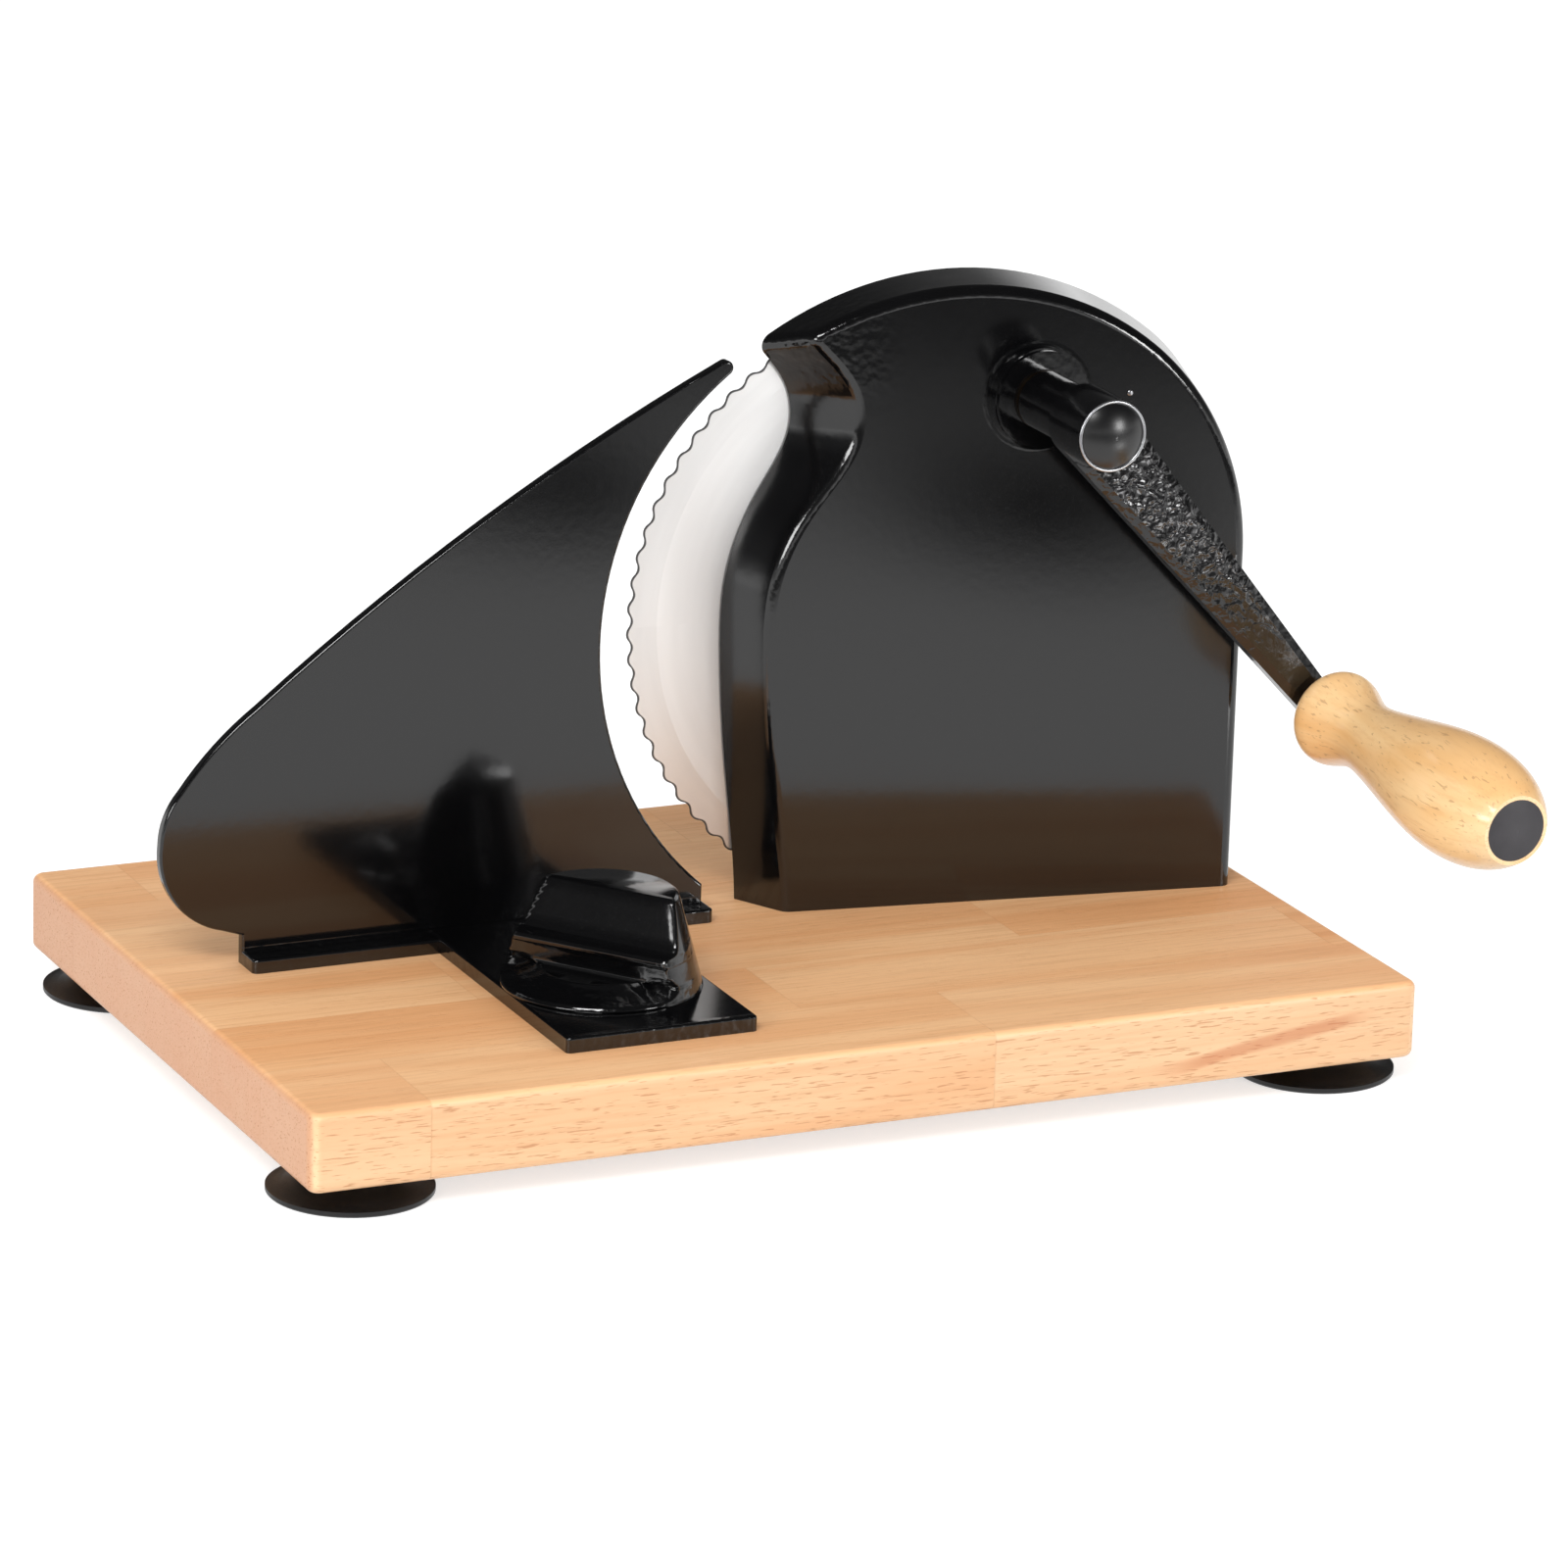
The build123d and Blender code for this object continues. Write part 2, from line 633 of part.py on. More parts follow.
def crank_shaft():
    nut_seat = hub_front + cap_depth + nut_room
    shaft = rod(shaft_radius, crank_x, crank_z, nut_seat, cover_back - seat_gap)
    shaft += rod(shaft_radius - 1, crank_x, crank_z, nut_seat - crank_nut_height - 0.8, nut_seat + 1)
    clip_start = gear_back + seat_gap
    groove = rod(shaft_radius + 1, crank_x, crank_z, clip_start, clip_start + clip_thickness)
    groove -= rod(shaft_radius - 1, crank_x, crank_z, gear_back, gear_back + 3.0)
    return shaft - groove - pinion_pin_hole()


def pinion_pin_hole():
    middle = (gear_front + gear_back) / 2
    return Pos(crank_x, middle, crank_z) * Cylinder(pin_radius + fit_gap, 60)


def pinion_pin():
    """Cross pin through the pinion and the shaft."""
    reach = 2 * (gear_module * pinion_teeth / 2 - 1.2 * gear_module) - 4.0
    return Pos(crank_x, (gear_front + gear_back) / 2, crank_z) * Cylinder(pin_radius, reach)


def crank_pinion():
    turn = crank_bearing + 180 + 180 / pinion_teeth
    pinion = upright(Pos(crank_x, crank_z) * gear_outline(pinion_teeth, turn), gear_front, gear_back)
    pinion -= rod(shaft_radius + fit_gap, crank_x, crank_z, gear_front - 1, gear_back + 1)
    reach = 2 * (gear_module * pinion_teeth / 2 - 1.2 * gear_module) - 3.8
    middle = (gear_front + gear_back) / 2
    return pinion - Pos(crank_x, middle, crank_z) * Cylinder(pin_radius + fit_gap, reach)


def shaft_clip():
    front = gear_back + seat_gap
    clip = rod(clip_radius, crank_x, crank_z, front, front + clip_thickness)
    clip -= rod(shaft_radius - 1 + fit_gap, crank_x, crank_z, front - 1, front + clip_thickness + 1)
    mouth = Pos(crank_x, front, crank_z - clip_radius) * Box(2 * shaft_radius - 3.0, 6, 2 * clip_radius)
    return clip - mouth


def crank_sleeve():
    sleeve = rod(sleeve_radius, crank_x, crank_z, sleeve_front, sleeve_front + sleeve_length)
    bore = rod(shaft_radius + fit_gap, crank_x, crank_z, sleeve_front - 1, sleeve_front + sleeve_length + 1)
    return sleeve - bore


def crank_arm():
    """Hub and tapered arm in one, with the arm's front edges bevelled."""
    hub_back = hub_front + hub_length
    arm = flat_arm()
    hub = rod(hub_radius, crank_x, crank_z, hub_front, hub_back)
    hub = chamfer(hub.edges().sort_by(Axis.Y)[-1], 0.6)
    arm += hub
    arm -= rod(hub_radius - hub_rim, crank_x, crank_z, hub_front - 1, hub_front + cap_depth)
    pocket_end = hub_front + cap_depth + nut_room
    arm -= rod(crank_nut_radius + free_gap, crank_x, crank_z, hub_front - 1, pocket_end)
    arm -= rod(shaft_radius + fit_gap, crank_x, crank_z, hub_front - 1, hub_back + 1)
    return arm - spindle_bar(spindle_radius + fit_gap, -20.0, 20.0)


def flat_arm():
    """The flat tapered arm from the hub's middle to its round end."""
    half_hub = arm_width_hub / 2
    half_end = arm_width_end / 2
    outline = make_face([
        Line((0, half_hub), (crank_radius, half_end)),
        ThreePointArc((crank_radius, half_end), (crank_radius + half_end, 0), (crank_radius, -half_end)),
        Line((crank_radius, -half_end), (0, -half_hub)),
        ThreePointArc((0, -half_hub), (-half_hub, 0), (0, half_hub)),
    ])
    flat = upright(outline, 0, arm_thickness)
    flat = chamfer(flat.faces().sort_by(Axis.Y)[0].edges(), arm_bevel * 0.55, arm_bevel)
    flat = fillet(flat.faces().sort_by(Axis.Y)[-1].edges(), 1.2)
    return Pos(crank_x, arm_front, crank_z) * Rot(0, -crank_angle, 0) * flat


def crank_nut():
    front = hub_front + cap_depth + nut_room - crank_nut_height
    nut = upright(Pos(crank_x, crank_z) * hexagon(crank_nut_radius, shaft_radius - 1 + fit_gap), front,
                  front + crank_nut_height)
    return nut


def domed_plug(radius, depth, dome):
    """A short plug standing on Z = 0 whose top is part of a ball."""
    ball = (radius ** 2 + dome ** 2) / (2 * dome)
    middle = depth + dome - ball + sqrt(ball ** 2 - (radius / 2) ** 2)
    edges = [Line((0, 0), (radius, 0)), Line((radius, 0), (radius, depth)),
             ThreePointArc((radius, depth), (radius / 2, middle), (0, depth + dome)),
             Line((0, depth + dome), (0, 0))]
    return revolve(Plane.XZ * make_face(edges), Axis.Z)


def hub_cap():
    """Domed cap let into the hub's end."""
    seat = Plane(origin=(crank_x, hub_front + cap_depth, crank_z), z_dir=(0, -1, 0))
    return seat * domed_plug(hub_radius - hub_rim - fit_gap, cap_depth, cap_dome)


# ---- handle -----------------------------------------------------------------------------------
def spindle_bar(radius, start, end):
    """A round bar on the handle's leaning axis, by distance from the middle of the arm."""
    return along(spindle_foot + spindle_way * start, spindle_way, [(0, radius), (end - start, radius)])


def handle_start():
    return arm_thickness / 2 / cos(radians(handle_lean)) + spindle_collar + seat_gap


def handle_spindle():
    """The steel spindle, riveted in the arm, with the collar that the grip turns against."""
    start = handle_start() - seat_gap
    foot = -arm_thickness / 2 + 0.8
    end = handle_start() + handle_length - nut_pocket
    bar = spindle_bar(spindle_radius, foot, end)
    bar += spindle_bar(spindle_radius - 1.0, end - 1, end + spindle_nut_height + 1.0)
    arm_face = arm_thickness / 2 / cos(radians(handle_lean))
    collar = spindle_bar(spindle_collar_radius, arm_face - 2.0, start)
    keep = upright(Pos(spindle_foot.X, spindle_foot.Z) * Rectangle(80, 80), arm_front - 60, arm_front)
    return bar + (collar & keep)


def spindle_nut():
    start = handle_start() + handle_length - nut_pocket + seat_gap
    nut = spindle_bar(spindle_nut_radius, start, start + spindle_nut_height)
    return nut - spindle_bar(spindle_radius - 1.0 + fit_gap, start - 1, start + spindle_nut_height + 1)


def handle_grip():
    """Turned grip: a bead at the arm, a narrow neck, a full body and a rounded end."""
    length = handle_length
    end = handle_end
    bead = Spline((handle_collar - 2.6, 0), (handle_collar, length * 0.052),
                  (handle_collar - 1.5, length * 0.105), (handle_neck, length * 0.20),
                  (handle_neck + 0.9, length * 0.30),
                  (handle_body - 2.6, length * 0.52), (handle_body, length * 0.71),
                  (handle_body - 3.0, length * 0.91), (end, length))
    bore = spindle_radius + handle_bush_wall
    edges = [bead, Line((end, length), (0, length)), Line((0, length), (0, 0)),
             Line((0, 0), (handle_collar - 2.6, 0))]
    grip = revolve(Plane.XZ * make_face(Wire(edges)), Axis.Z)
    frame = Plane(origin=spindle_foot + spindle_way * handle_start(), z_dir=spindle_way)
    grip = frame * grip
    start = handle_start()
    grip -= spindle_bar(bore + fit_gap, start - 1, start + length - nut_pocket)
    grip -= spindle_bar(spindle_nut_radius + free_gap, start + length - nut_pocket, start + length + 1)
    return grip - spindle_bar(end_cap_radius + fit_gap, start + length - end_cap_depth, start + length + 1)


def handle_bush():
    start = handle_start()
    end = start + handle_length - nut_pocket
    bush = spindle_bar(spindle_radius + handle_bush_wall, start, end)
    return bush - spindle_bar(spindle_radius + fit_gap, start - 1, end + 1)


def handle_end_cap():
    """The dark plug in the grip's end, slightly domed."""
    start = handle_start() + handle_length - end_cap_depth
    seat = Plane(origin=spindle_foot + spindle_way * start, z_dir=spindle_way)
    return seat * domed_plug(end_cap_radius, end_cap_depth, end_cap_dome)


# ---- stop plate -------------------------------------------------------------------------------
def plate_outline():
    """The upright plate seen from the front: long bowed top edge, round lobe, arc round the blade."""
    turn = radians(plate_tip_angle)
    arc_end = (plate_arc_x + plate_arc_radius * cos(turn), plate_arc_height + plate_arc_radius * sin(turn))
    tip = (arc_end[0] + plate_tip * cos(turn), arc_end[1] + plate_tip * sin(turn))
    nose = (tip[0] + plate_tip * sin(turn), tip[1] - plate_tip * cos(turn))
    top = (tip[0] - plate_tip * 0.5, tip[1] + plate_tip * 0.87)
    low_x = plate_arc_x - sqrt(plate_arc_radius ** 2 - (plate_arc_height - plate_lobe_height) ** 2)
    spots = [(plate_left + x, height) for x, height in plate_left_curve]
    edges = [
        ThreePointArc(top, plate_top_bow, spots[0]),
        ThreePointArc(spots[0], spots[1], spots[2]),
        ThreePointArc(spots[2], spots[3], spots[4]),
        ThreePointArc(spots[4], spots[5], spots[6]),
        Line(spots[6], (flange_left, plate_lobe_height)),
        Line((flange_left, plate_lobe_height), (flange_left, 0)),
        Line((flange_left, 0), (low_x, 0)),
        Line((low_x, 0), (low_x, plate_lobe_height)),
        ThreePointArc((low_x, plate_lobe_height), (plate_arc_x - plate_arc_radius, plate_arc_height),
                      arc_end),
        ThreePointArc(arc_end, nose, top),
    ]
    return Pos(0, board_top) * make_face(edges)


def stop_plate():
    """The plate, its foot flange and the tongue that carries the adjuster, cast in one."""
    plate = upright(plate_outline(), plate_front, plate_back)
    plate = fillet(plate.faces().sort_by(Axis.Y)[0].edges(), plate_round)
    plate = fillet(plate.faces().sort_by(Axis.Y)[-1].edges(), plate_round)
    foot = Pos(0, 0, board_top) * extrude(Polygon([
        (flange_left, plate_back - plate_round), (flange_left, plate_front - flange_depth),
        (flange_right, plate_front - flange_depth), (flange_right, plate_back - plate_round)], align=None),
        amount=flange_thickness)
    foot = fillet(foot.edges().filter_by(Axis.Z).sort_by(Axis.Y)[:2], 2.0)
    foot = fillet(foot.faces().sort_by(Axis.Z)[-1].edges(), plate_round)
    tongue = Pos(0, 0, board_top) * extrude(Polygon([
        (tongue_left, plate_front), (tongue_left, tongue_front), (tongue_right, tongue_front),
        (tongue_right, plate_front)], align=None), amount=tongue_thickness)
    tongue = fillet(tongue.edges().filter_by(Axis.Z).sort_by(Axis.Y)[:2], tongue_corner)
    tongue = fillet(tongue.faces().sort_by(Axis.Z)[-1].edges(), plate_round)
    body = plate + foot + tongue
    bore = knob_spindle_radius + free_gap
    body -= disc(bore, knob_x, knob_y, board_top - 1, board_top + tongue_thickness + 1)
    for x, y in key_screw_places():
        body -= disc(key_screw_radius + fit_gap, x, y, board_top - 1, board_top + tongue_thickness - 1.2)
    return body


def key_screw_places():
    return [(knob_x, key_front + 4.0), (knob_x, key_back - 4.0)]


def guide_key():
    """Steel key on the tongue's underside that keeps the plate square in the board's groove."""
    key = Pos(knob_x, (key_front + key_back) / 2, board_top - key_depth) * Box(
        key_width, key_back - key_front, key_depth, align=(Align.CENTER, Align.CENTER, Align.MIN))
    for x, y in key_screw_places():
        key -= disc(key_screw_radius + fit_gap, x, y, board_top - key_depth - 1, board_top + 1)
        key -= disc(key_screw_radius + 1.4, x, y, board_top - key_depth - 1, board_top - key_depth + 1.6)
    return key


def key_screw(x, y):
    low = board_top - key_depth + 0.1
    shank = disc(key_screw_radius, x, y, low, board_top + tongue_thickness - 1.4)
    return shank + disc(key_screw_radius + 1.2, x, y, low, low + 1.4)


# ---- adjuster ---------------------------------------------------------------------------------
knob_low = board_top + tongue_thickness + seat_gap


def adjusting_knob():
    """A round skirt with a tall wedge-shaped bar across it."""
    skirt = disc(knob_radius, 0, 0, 0, knob_skirt)
    skirt = fillet(skirt.edges().sort_by(Axis.Z)[-1], 1.4)
    skirt -= disc(knob_radius - 3.0, 0, 0, knob_skirt - knob_dish, knob_skirt + 1)
    base = knob_skirt - knob_dish - 0.5
    ledge = knob_skirt + knob_ledge
    lower = bar_block(knob_bar_length, knob_bar_width, base, knob_bar_length - 0.6, knob_bar_width - 0.8,
                      ledge)
    upper = bar_block(knob_bar_length - 2.0, knob_bar_width - 4.2, ledge - 0.5, knob_bar_top_length,
                      knob_bar_top_width, knob_height)
    upper = fillet(upper.edges().group_by(Axis.Z)[-1], 0.7)
    bar = (lower + upper) & disc(knob_radius - 0.4, 0, 0, 0, knob_height + 1)
    knob = skirt + Rot(0, 0, knob_bar_angle) * bar
    knob -= disc(insert_radius + fit_gap, 0, 0, -1, insert_height)
    return Pos(knob_x, knob_y, knob_low) * knob


def bar_block(length_low, width_low, low, length_high, width_high, high):
    sections = [Pos(0, 0, low) * Rectangle(length_low, width_low),
                Pos(0, 0, high) * Rectangle(length_high, width_high)]
    return loft(sections, ruled=True)


def knob_insert():
    insert = extrude(hexagon(insert_radius, knob_spindle_radius - 1 + fit_gap), amount=insert_height - 0.1)
    return Pos(knob_x, knob_y, knob_low) * insert


def knob_spindle():
    """Steel spindle: threaded into the knob, shouldered under the tongue, down through the board's slot."""
    end = slide_ceiling - seat_gap - slide_washer_thickness - slide_nut_height - 1.0
    top = knob_low + insert_height - 1.0
    thread = knob_spindle_radius - 1
    bar = disc(knob_spindle_radius, knob_x, knob_y, slide_ceiling - seat_gap, board_top + tongue_thickness)
    bar += disc(thread, knob_x, knob_y, board_top, top)
    return bar + disc(thread, knob_x, knob_y, end, slide_ceiling)


def spiral_cam():
    """Disc with a spiral groove underneath: the pin in it moves the plate as the knob turns."""
    cam = disc(cam_radius, 0, 0, 0, cam_thickness)
    half = cam_pin_radius + free_gap
    turns = [knob_open_turn - 8 + n * (knob_turn_range + 16) / 15 for n in range(16)]
    middle = [spiral_spot(turn, 0) for turn in turns]
    outer = [spiral_spot(turn, half) for turn in turns]
    inner = [spiral_spot(turn, -half) for turn in turns]
    first = spiral_cap(middle[0], middle[1], half)
    last = spiral_cap(middle[-1], middle[-2], half)
    edges = [Spline(*outer), ThreePointArc(outer[-1], last, inner[-1]), Spline(*inner[::-1]),
             ThreePointArc(inner[0], first, outer[0])]
    groove = extrude(make_face(Wire(edges)), amount=cam_groove_depth)
    cam -= groove
    cam -= disc(knob_spindle_radius + fit_gap, 0, 0, -1, cam_thickness + 1)
    return Pos(knob_x, knob_y, cam_low) * cam


def spiral_spot(turn, aside):
    """The pin's place seen from the cam when the knob has turned by turn degrees, moved aside outward."""
    reach = cam_pin_reach + travel_per_degree * turn
    way = radians(-90 - turn)
    centre = Vector(reach * cos(way), reach * sin(way))
    slope = travel_per_degree * 180 / pi
    along_way = Vector(slope * cos(way) + reach * sin(way), slope * sin(way) - reach * cos(way))
    along_way = along_way.normalized()
    out = Vector(-along_way.Y, along_way.X)
    if out.dot(centre) < 0:
        out = out * -1
    spot = centre + out * aside
    return (spot.X, spot.Y)


def spiral_cap(end, before, half):
    way = Vector(end[0] - before[0], end[1] - before[1]).normalized()
    return (end[0] + way.X * half, end[1] + way.Y * half)


def slide_washer():
    top = slide_ceiling - seat_gap
    low = top - slide_washer_thickness
    return disc(slide_washer_radius, knob_x, knob_y, low, top) - disc(
        knob_spindle_radius - 1 + fit_gap, knob_x, knob_y, low - 1, top + 1)


def slide_nut():
    top = slide_ceiling - seat_gap - slide_washer_thickness
    nut = extrude(hexagon(slide_nut_radius, knob_spindle_radius - 1 + fit_gap), amount=slide_nut_height)
    return Pos(knob_x, knob_y, top - slide_nut_height) * nut


# ---- all the pieces ---------------------------------------------------------------------------
def pieces():
    """Every node's name and shape, round the board's centre."""
    made = {
        "base_board": base_board(),
        "foot_screws": Compound([foot_screw(x, y) for x, y in foot_places.values()]),
        "gear_housing": gear_housing(),
        "housing_screws": Compound([housing_screw(x, y) for x, y in housing_screw_places]),
        "rear_cover": rear_cover(),
        "cover_screws": Compound([cover_screw(x, h) for x, h in cover_screw_places]),
        "blade_stud": blade_stud(),
        "blade_washer": blade_washer(),
        "blade_nut": blade_nut(),
        "crank_bush": crank_bush(),
        "cam_pin": cam_pin(),
        "crank_shaft": crank_shaft(),
        "crank_pinion": crank_pinion(),
        "pinion_pin": pinion_pin(),
        "shaft_clip": shaft_clip(),
        "crank_sleeve": crank_sleeve(),
        "crank_arm": crank_arm(),
        "crank_nut": crank_nut(),
        "hub_cap": hub_cap(),
        "handle_spindle": handle_spindle(),
        "spindle_nut": spindle_nut(),
        "handle_grip": handle_grip(),
        "handle_bush": handle_bush(),
        "handle_end_cap": handle_end_cap(),
        "blade_disc": blade_disc(),
        "blade_gear": blade_gear(),
        "gear_bush": gear_bush(),
        "blade_screws": Compound([blade_screw(x, z) for x, z in blade_screw_places()]),
        "stop_plate": stop_plate(),
        "guide_key": guide_key(),
        "key_screws": Compound([key_screw(x, y) for x, y in key_screw_places()]),
        "adjusting_knob": adjusting_knob(),
        "knob_insert": knob_insert(),
        "knob_spindle": knob_spindle(),
        "spiral_cam": spiral_cam(),
        "slide_washer": slide_washer(),
        "slide_nut": slide_nut(),
    }
    for corner, (x, y) in foot_places.items():
        made["suction_foot_" + corner] = suction_foot(x, y)
    return made


def footprint_centre(made):
    """The middle of the whole object seen from above, which becomes the origin."""
    boxes = [shape.bounding_box() for shape in made.values()]
    x = (min(b.min.X for b in boxes) + max(b.max.X for b in boxes)) / 2
    y = (min(b.min.Y for b in boxes) + max(b.max.Y for b in boxes)) / 2
    return Vector(x, y, 0)


def main():
    os.makedirs("parts", exist_ok=True)
    made = pieces()
    centre = footprint_centre(made)
    for name, shape in made.items():
        export_step(Pos(-centre.X, -centre.Y, 0) * shape, "parts/" + name + ".step")
    print("origin lies at", round(centre.X, 3), round(centre.Y, 3), "from the board's centre")


if __name__ == "__main__":
    main()
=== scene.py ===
import json
import math

import bpy
import numpy as np
from mathutils import Matrix, Vector


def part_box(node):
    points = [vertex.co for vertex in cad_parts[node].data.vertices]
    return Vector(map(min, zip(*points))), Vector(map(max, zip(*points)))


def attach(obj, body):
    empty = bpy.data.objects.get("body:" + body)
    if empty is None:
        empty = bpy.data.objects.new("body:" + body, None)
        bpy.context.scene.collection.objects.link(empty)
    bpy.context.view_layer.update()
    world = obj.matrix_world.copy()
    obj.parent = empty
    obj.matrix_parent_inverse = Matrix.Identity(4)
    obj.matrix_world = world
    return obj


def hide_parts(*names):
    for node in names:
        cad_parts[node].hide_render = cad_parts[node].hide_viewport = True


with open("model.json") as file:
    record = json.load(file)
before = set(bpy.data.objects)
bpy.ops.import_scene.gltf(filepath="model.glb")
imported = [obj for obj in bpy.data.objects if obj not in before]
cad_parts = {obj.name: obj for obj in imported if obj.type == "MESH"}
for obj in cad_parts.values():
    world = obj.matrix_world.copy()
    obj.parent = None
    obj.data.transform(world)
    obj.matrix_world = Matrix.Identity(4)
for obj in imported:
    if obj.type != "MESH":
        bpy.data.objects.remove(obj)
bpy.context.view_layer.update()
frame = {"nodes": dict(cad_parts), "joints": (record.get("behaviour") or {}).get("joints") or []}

# ---- camera -----------------------------------------------------------------------------------
# A long lens, low over the table and left of the slicer's front, with the photograph's slight
# tilt and its picture centre.
camera_turn = math.radians(-24.94)
camera_rise = math.radians(16.91)
camera_tilt = math.radians(1.68)
camera_place = Vector((-0.98842, -2.12998, 0.80310))
back_way = Vector((math.sin(camera_turn) * math.cos(camera_rise),
                   -math.cos(camera_turn) * math.cos(camera_rise), math.sin(camera_rise)))
level_way = (-back_way).cross(Vector((0, 0, 1))).normalized()
plumb_way = level_way.cross(-back_way)
right_way = level_way * math.cos(camera_tilt) + plumb_way * math.sin(camera_tilt)
up_way = plumb_way * math.cos(camera_tilt) - level_way * math.sin(camera_tilt)
lens = bpy.data.cameras.new("camera")
lens.sensor_width = 36.0
lens.lens = 180.0
lens.shift_x = -0.0025
lens.shift_y = -0.0094
lens.clip_end = 50.0
camera = bpy.data.objects.new("camera", lens)
camera.matrix_world = Matrix.Translation(camera_place) @ Matrix((right_way, up_way, back_way)).transposed().to_4x4()
bpy.context.scene.collection.objects.link(camera)
bpy.context.scene.camera = camera

# ---- board ------------------------------------------------------------------------------------
# Laminated light hardwood: staves glued side by side and end to end, planed, rounded along all
# edges and oiled. The pores show as short brown flecks, most of all on the cut front and ends.


class Wire:
    """A node's output in a sheet of nodes; sums written on wires add the nodes for them."""

    def __init__(self, sheet, socket):
        self.sheet = sheet
        self.socket = socket

    def maths(self, kind, first, second):
        return self.sheet.node("ShaderNodeMath", {"operation": kind}, {0: first, 1: second})

    def __add__(self, other):
        return self.maths("ADD", self, other)

    def __sub__(self, other):
        return self.maths("SUBTRACT", self, other)

    def __mul__(self, other):
        return self.maths("MULTIPLY", self, other)

    def __truediv__(self, other):
        return self.maths("DIVIDE", self, other)

    def __rsub__(self, other):
        return self.maths("SUBTRACT", other, self)

    def __neg__(self):
        return self.maths("MULTIPLY", self, -1.0)

    __radd__ = __add__
    __rmul__ = __mul__


class Sheet:
    """The nodes of one material or of the world."""

    def __init__(self, tree):
        self.tree = tree

    def node(self, kind, settings=None, sockets=None, out=0):
        """Adds a node of that kind, sets it up, then fills or links its sockets; gives an output."""
        made = self.tree.nodes.new(kind)
        for name, value in (settings or {}).items():
            setattr(made, name, value)
        for name, value in (sockets or {}).items():
            if isinstance(value, Wire):
                self.tree.links.new(value.socket, made.inputs[name])
            else:
                made.inputs[name].default_value = value
        return Wire(self, made.outputs[out])

    def place(self, centre=(0, 0, 0), turn=(0, 0, 0), stretch=(1, 1, 1)):
        """Object coordinates, moved so that centre is the origin, turned, then stretched."""
        spot = self.node("ShaderNodeTexCoord", out="Object")
        spot = self.node("ShaderNodeVectorMath", {"operation": "SUBTRACT"}, {0: spot, 1: centre})
        if any(turn):
            spot = self.node("ShaderNodeMapping", {"vector_type": "POINT"}, {"Vector": spot, "Rotation": turn})
        return self.node("ShaderNodeVectorMath", {"operation": "MULTIPLY"}, {0: spot, 1: stretch})

    def part(self, spot, axis):
        """One coordinate of a place: X, Y or Z."""
        return self.node("ShaderNodeSeparateXYZ", None, {0: spot}, axis)

    def noise(self, spot, scale, detail=2.0, rough=0.5, wander=0.0):
        return self.node("ShaderNodeTexNoise", None, {"Vector": spot, "Scale": scale, "Detail": detail,
                                                      "Roughness": rough, "Distortion": wander}, "Fac")

    def band(self, value, low, high):
        """0 below low, 1 above high, smooth between them."""
        return self.node("ShaderNodeMapRange", {"interpolation_type": "SMOOTHSTEP"},
                         {"Value": value, "From Min": low, "From Max": high})

    def blend(self, share, first, second):
        """first where share is 0 and second where it is 1, both colours."""
        return self.node("ShaderNodeMix", {"data_type": "RGBA"}, {0: share, 6: first, 7: second}, 2)

    def bump(self, height, depth, strength):
        """A normal tilted by a height from 0 to 1 that stands for a relief of that depth."""
        return self.node("ShaderNodeBump", None, {"Height": height, "Distance": depth, "Strength": strength})

    def root(self, value):
        return self.node("ShaderNodeMath", {"operation": "SQRT"}, {0: value})

    def length(self, spot):
        return self.node("ShaderNodeVectorMath", {"operation": "LENGTH"}, {0: spot}, "Value")


def paint(red, green, blue):
    """A colour given in 0-255 screen values, as the linear colour that a shader takes."""
    return tuple(((v / 255 + 0.055) / 1.055) ** 2.4 if v > 10 else v / 255 / 12.92
                 for v in (red, green, blue)) + (1.0,)


class Finish(Sheet):
    """One material: a Principled shader with its fixed values, and the nodes that vary it."""

    def __init__(self, name, **fixed):
        self.material = bpy.data.materials.new(name)
        self.material.use_nodes = True
        super().__init__(self.material.node_tree)
        self.shader = self.tree.nodes["Principled BSDF"]
        for socket, value in fixed.items():
            self.shader.inputs[socket.replace("_", " ")].default_value = value

    def feed(self, **wires):
        for socket, wire in wires.items():
            self.tree.links.new(wire.socket, self.shader.inputs[socket.replace("_", " ")])


def finish_nodes(finish, *names):
    """Puts a finish into every material slot of these CAD nodes."""
    for name in names:
        for slot in frame["nodes"][name].material_slots:
            slot.material = finish.material


board_low, board_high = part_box("base_board")
stave_width = 0.0417
stave_length = 0.185
stave_start = -0.161
streak_x = 0.118
streak_z = 0.0205
streak_slope = 0.14


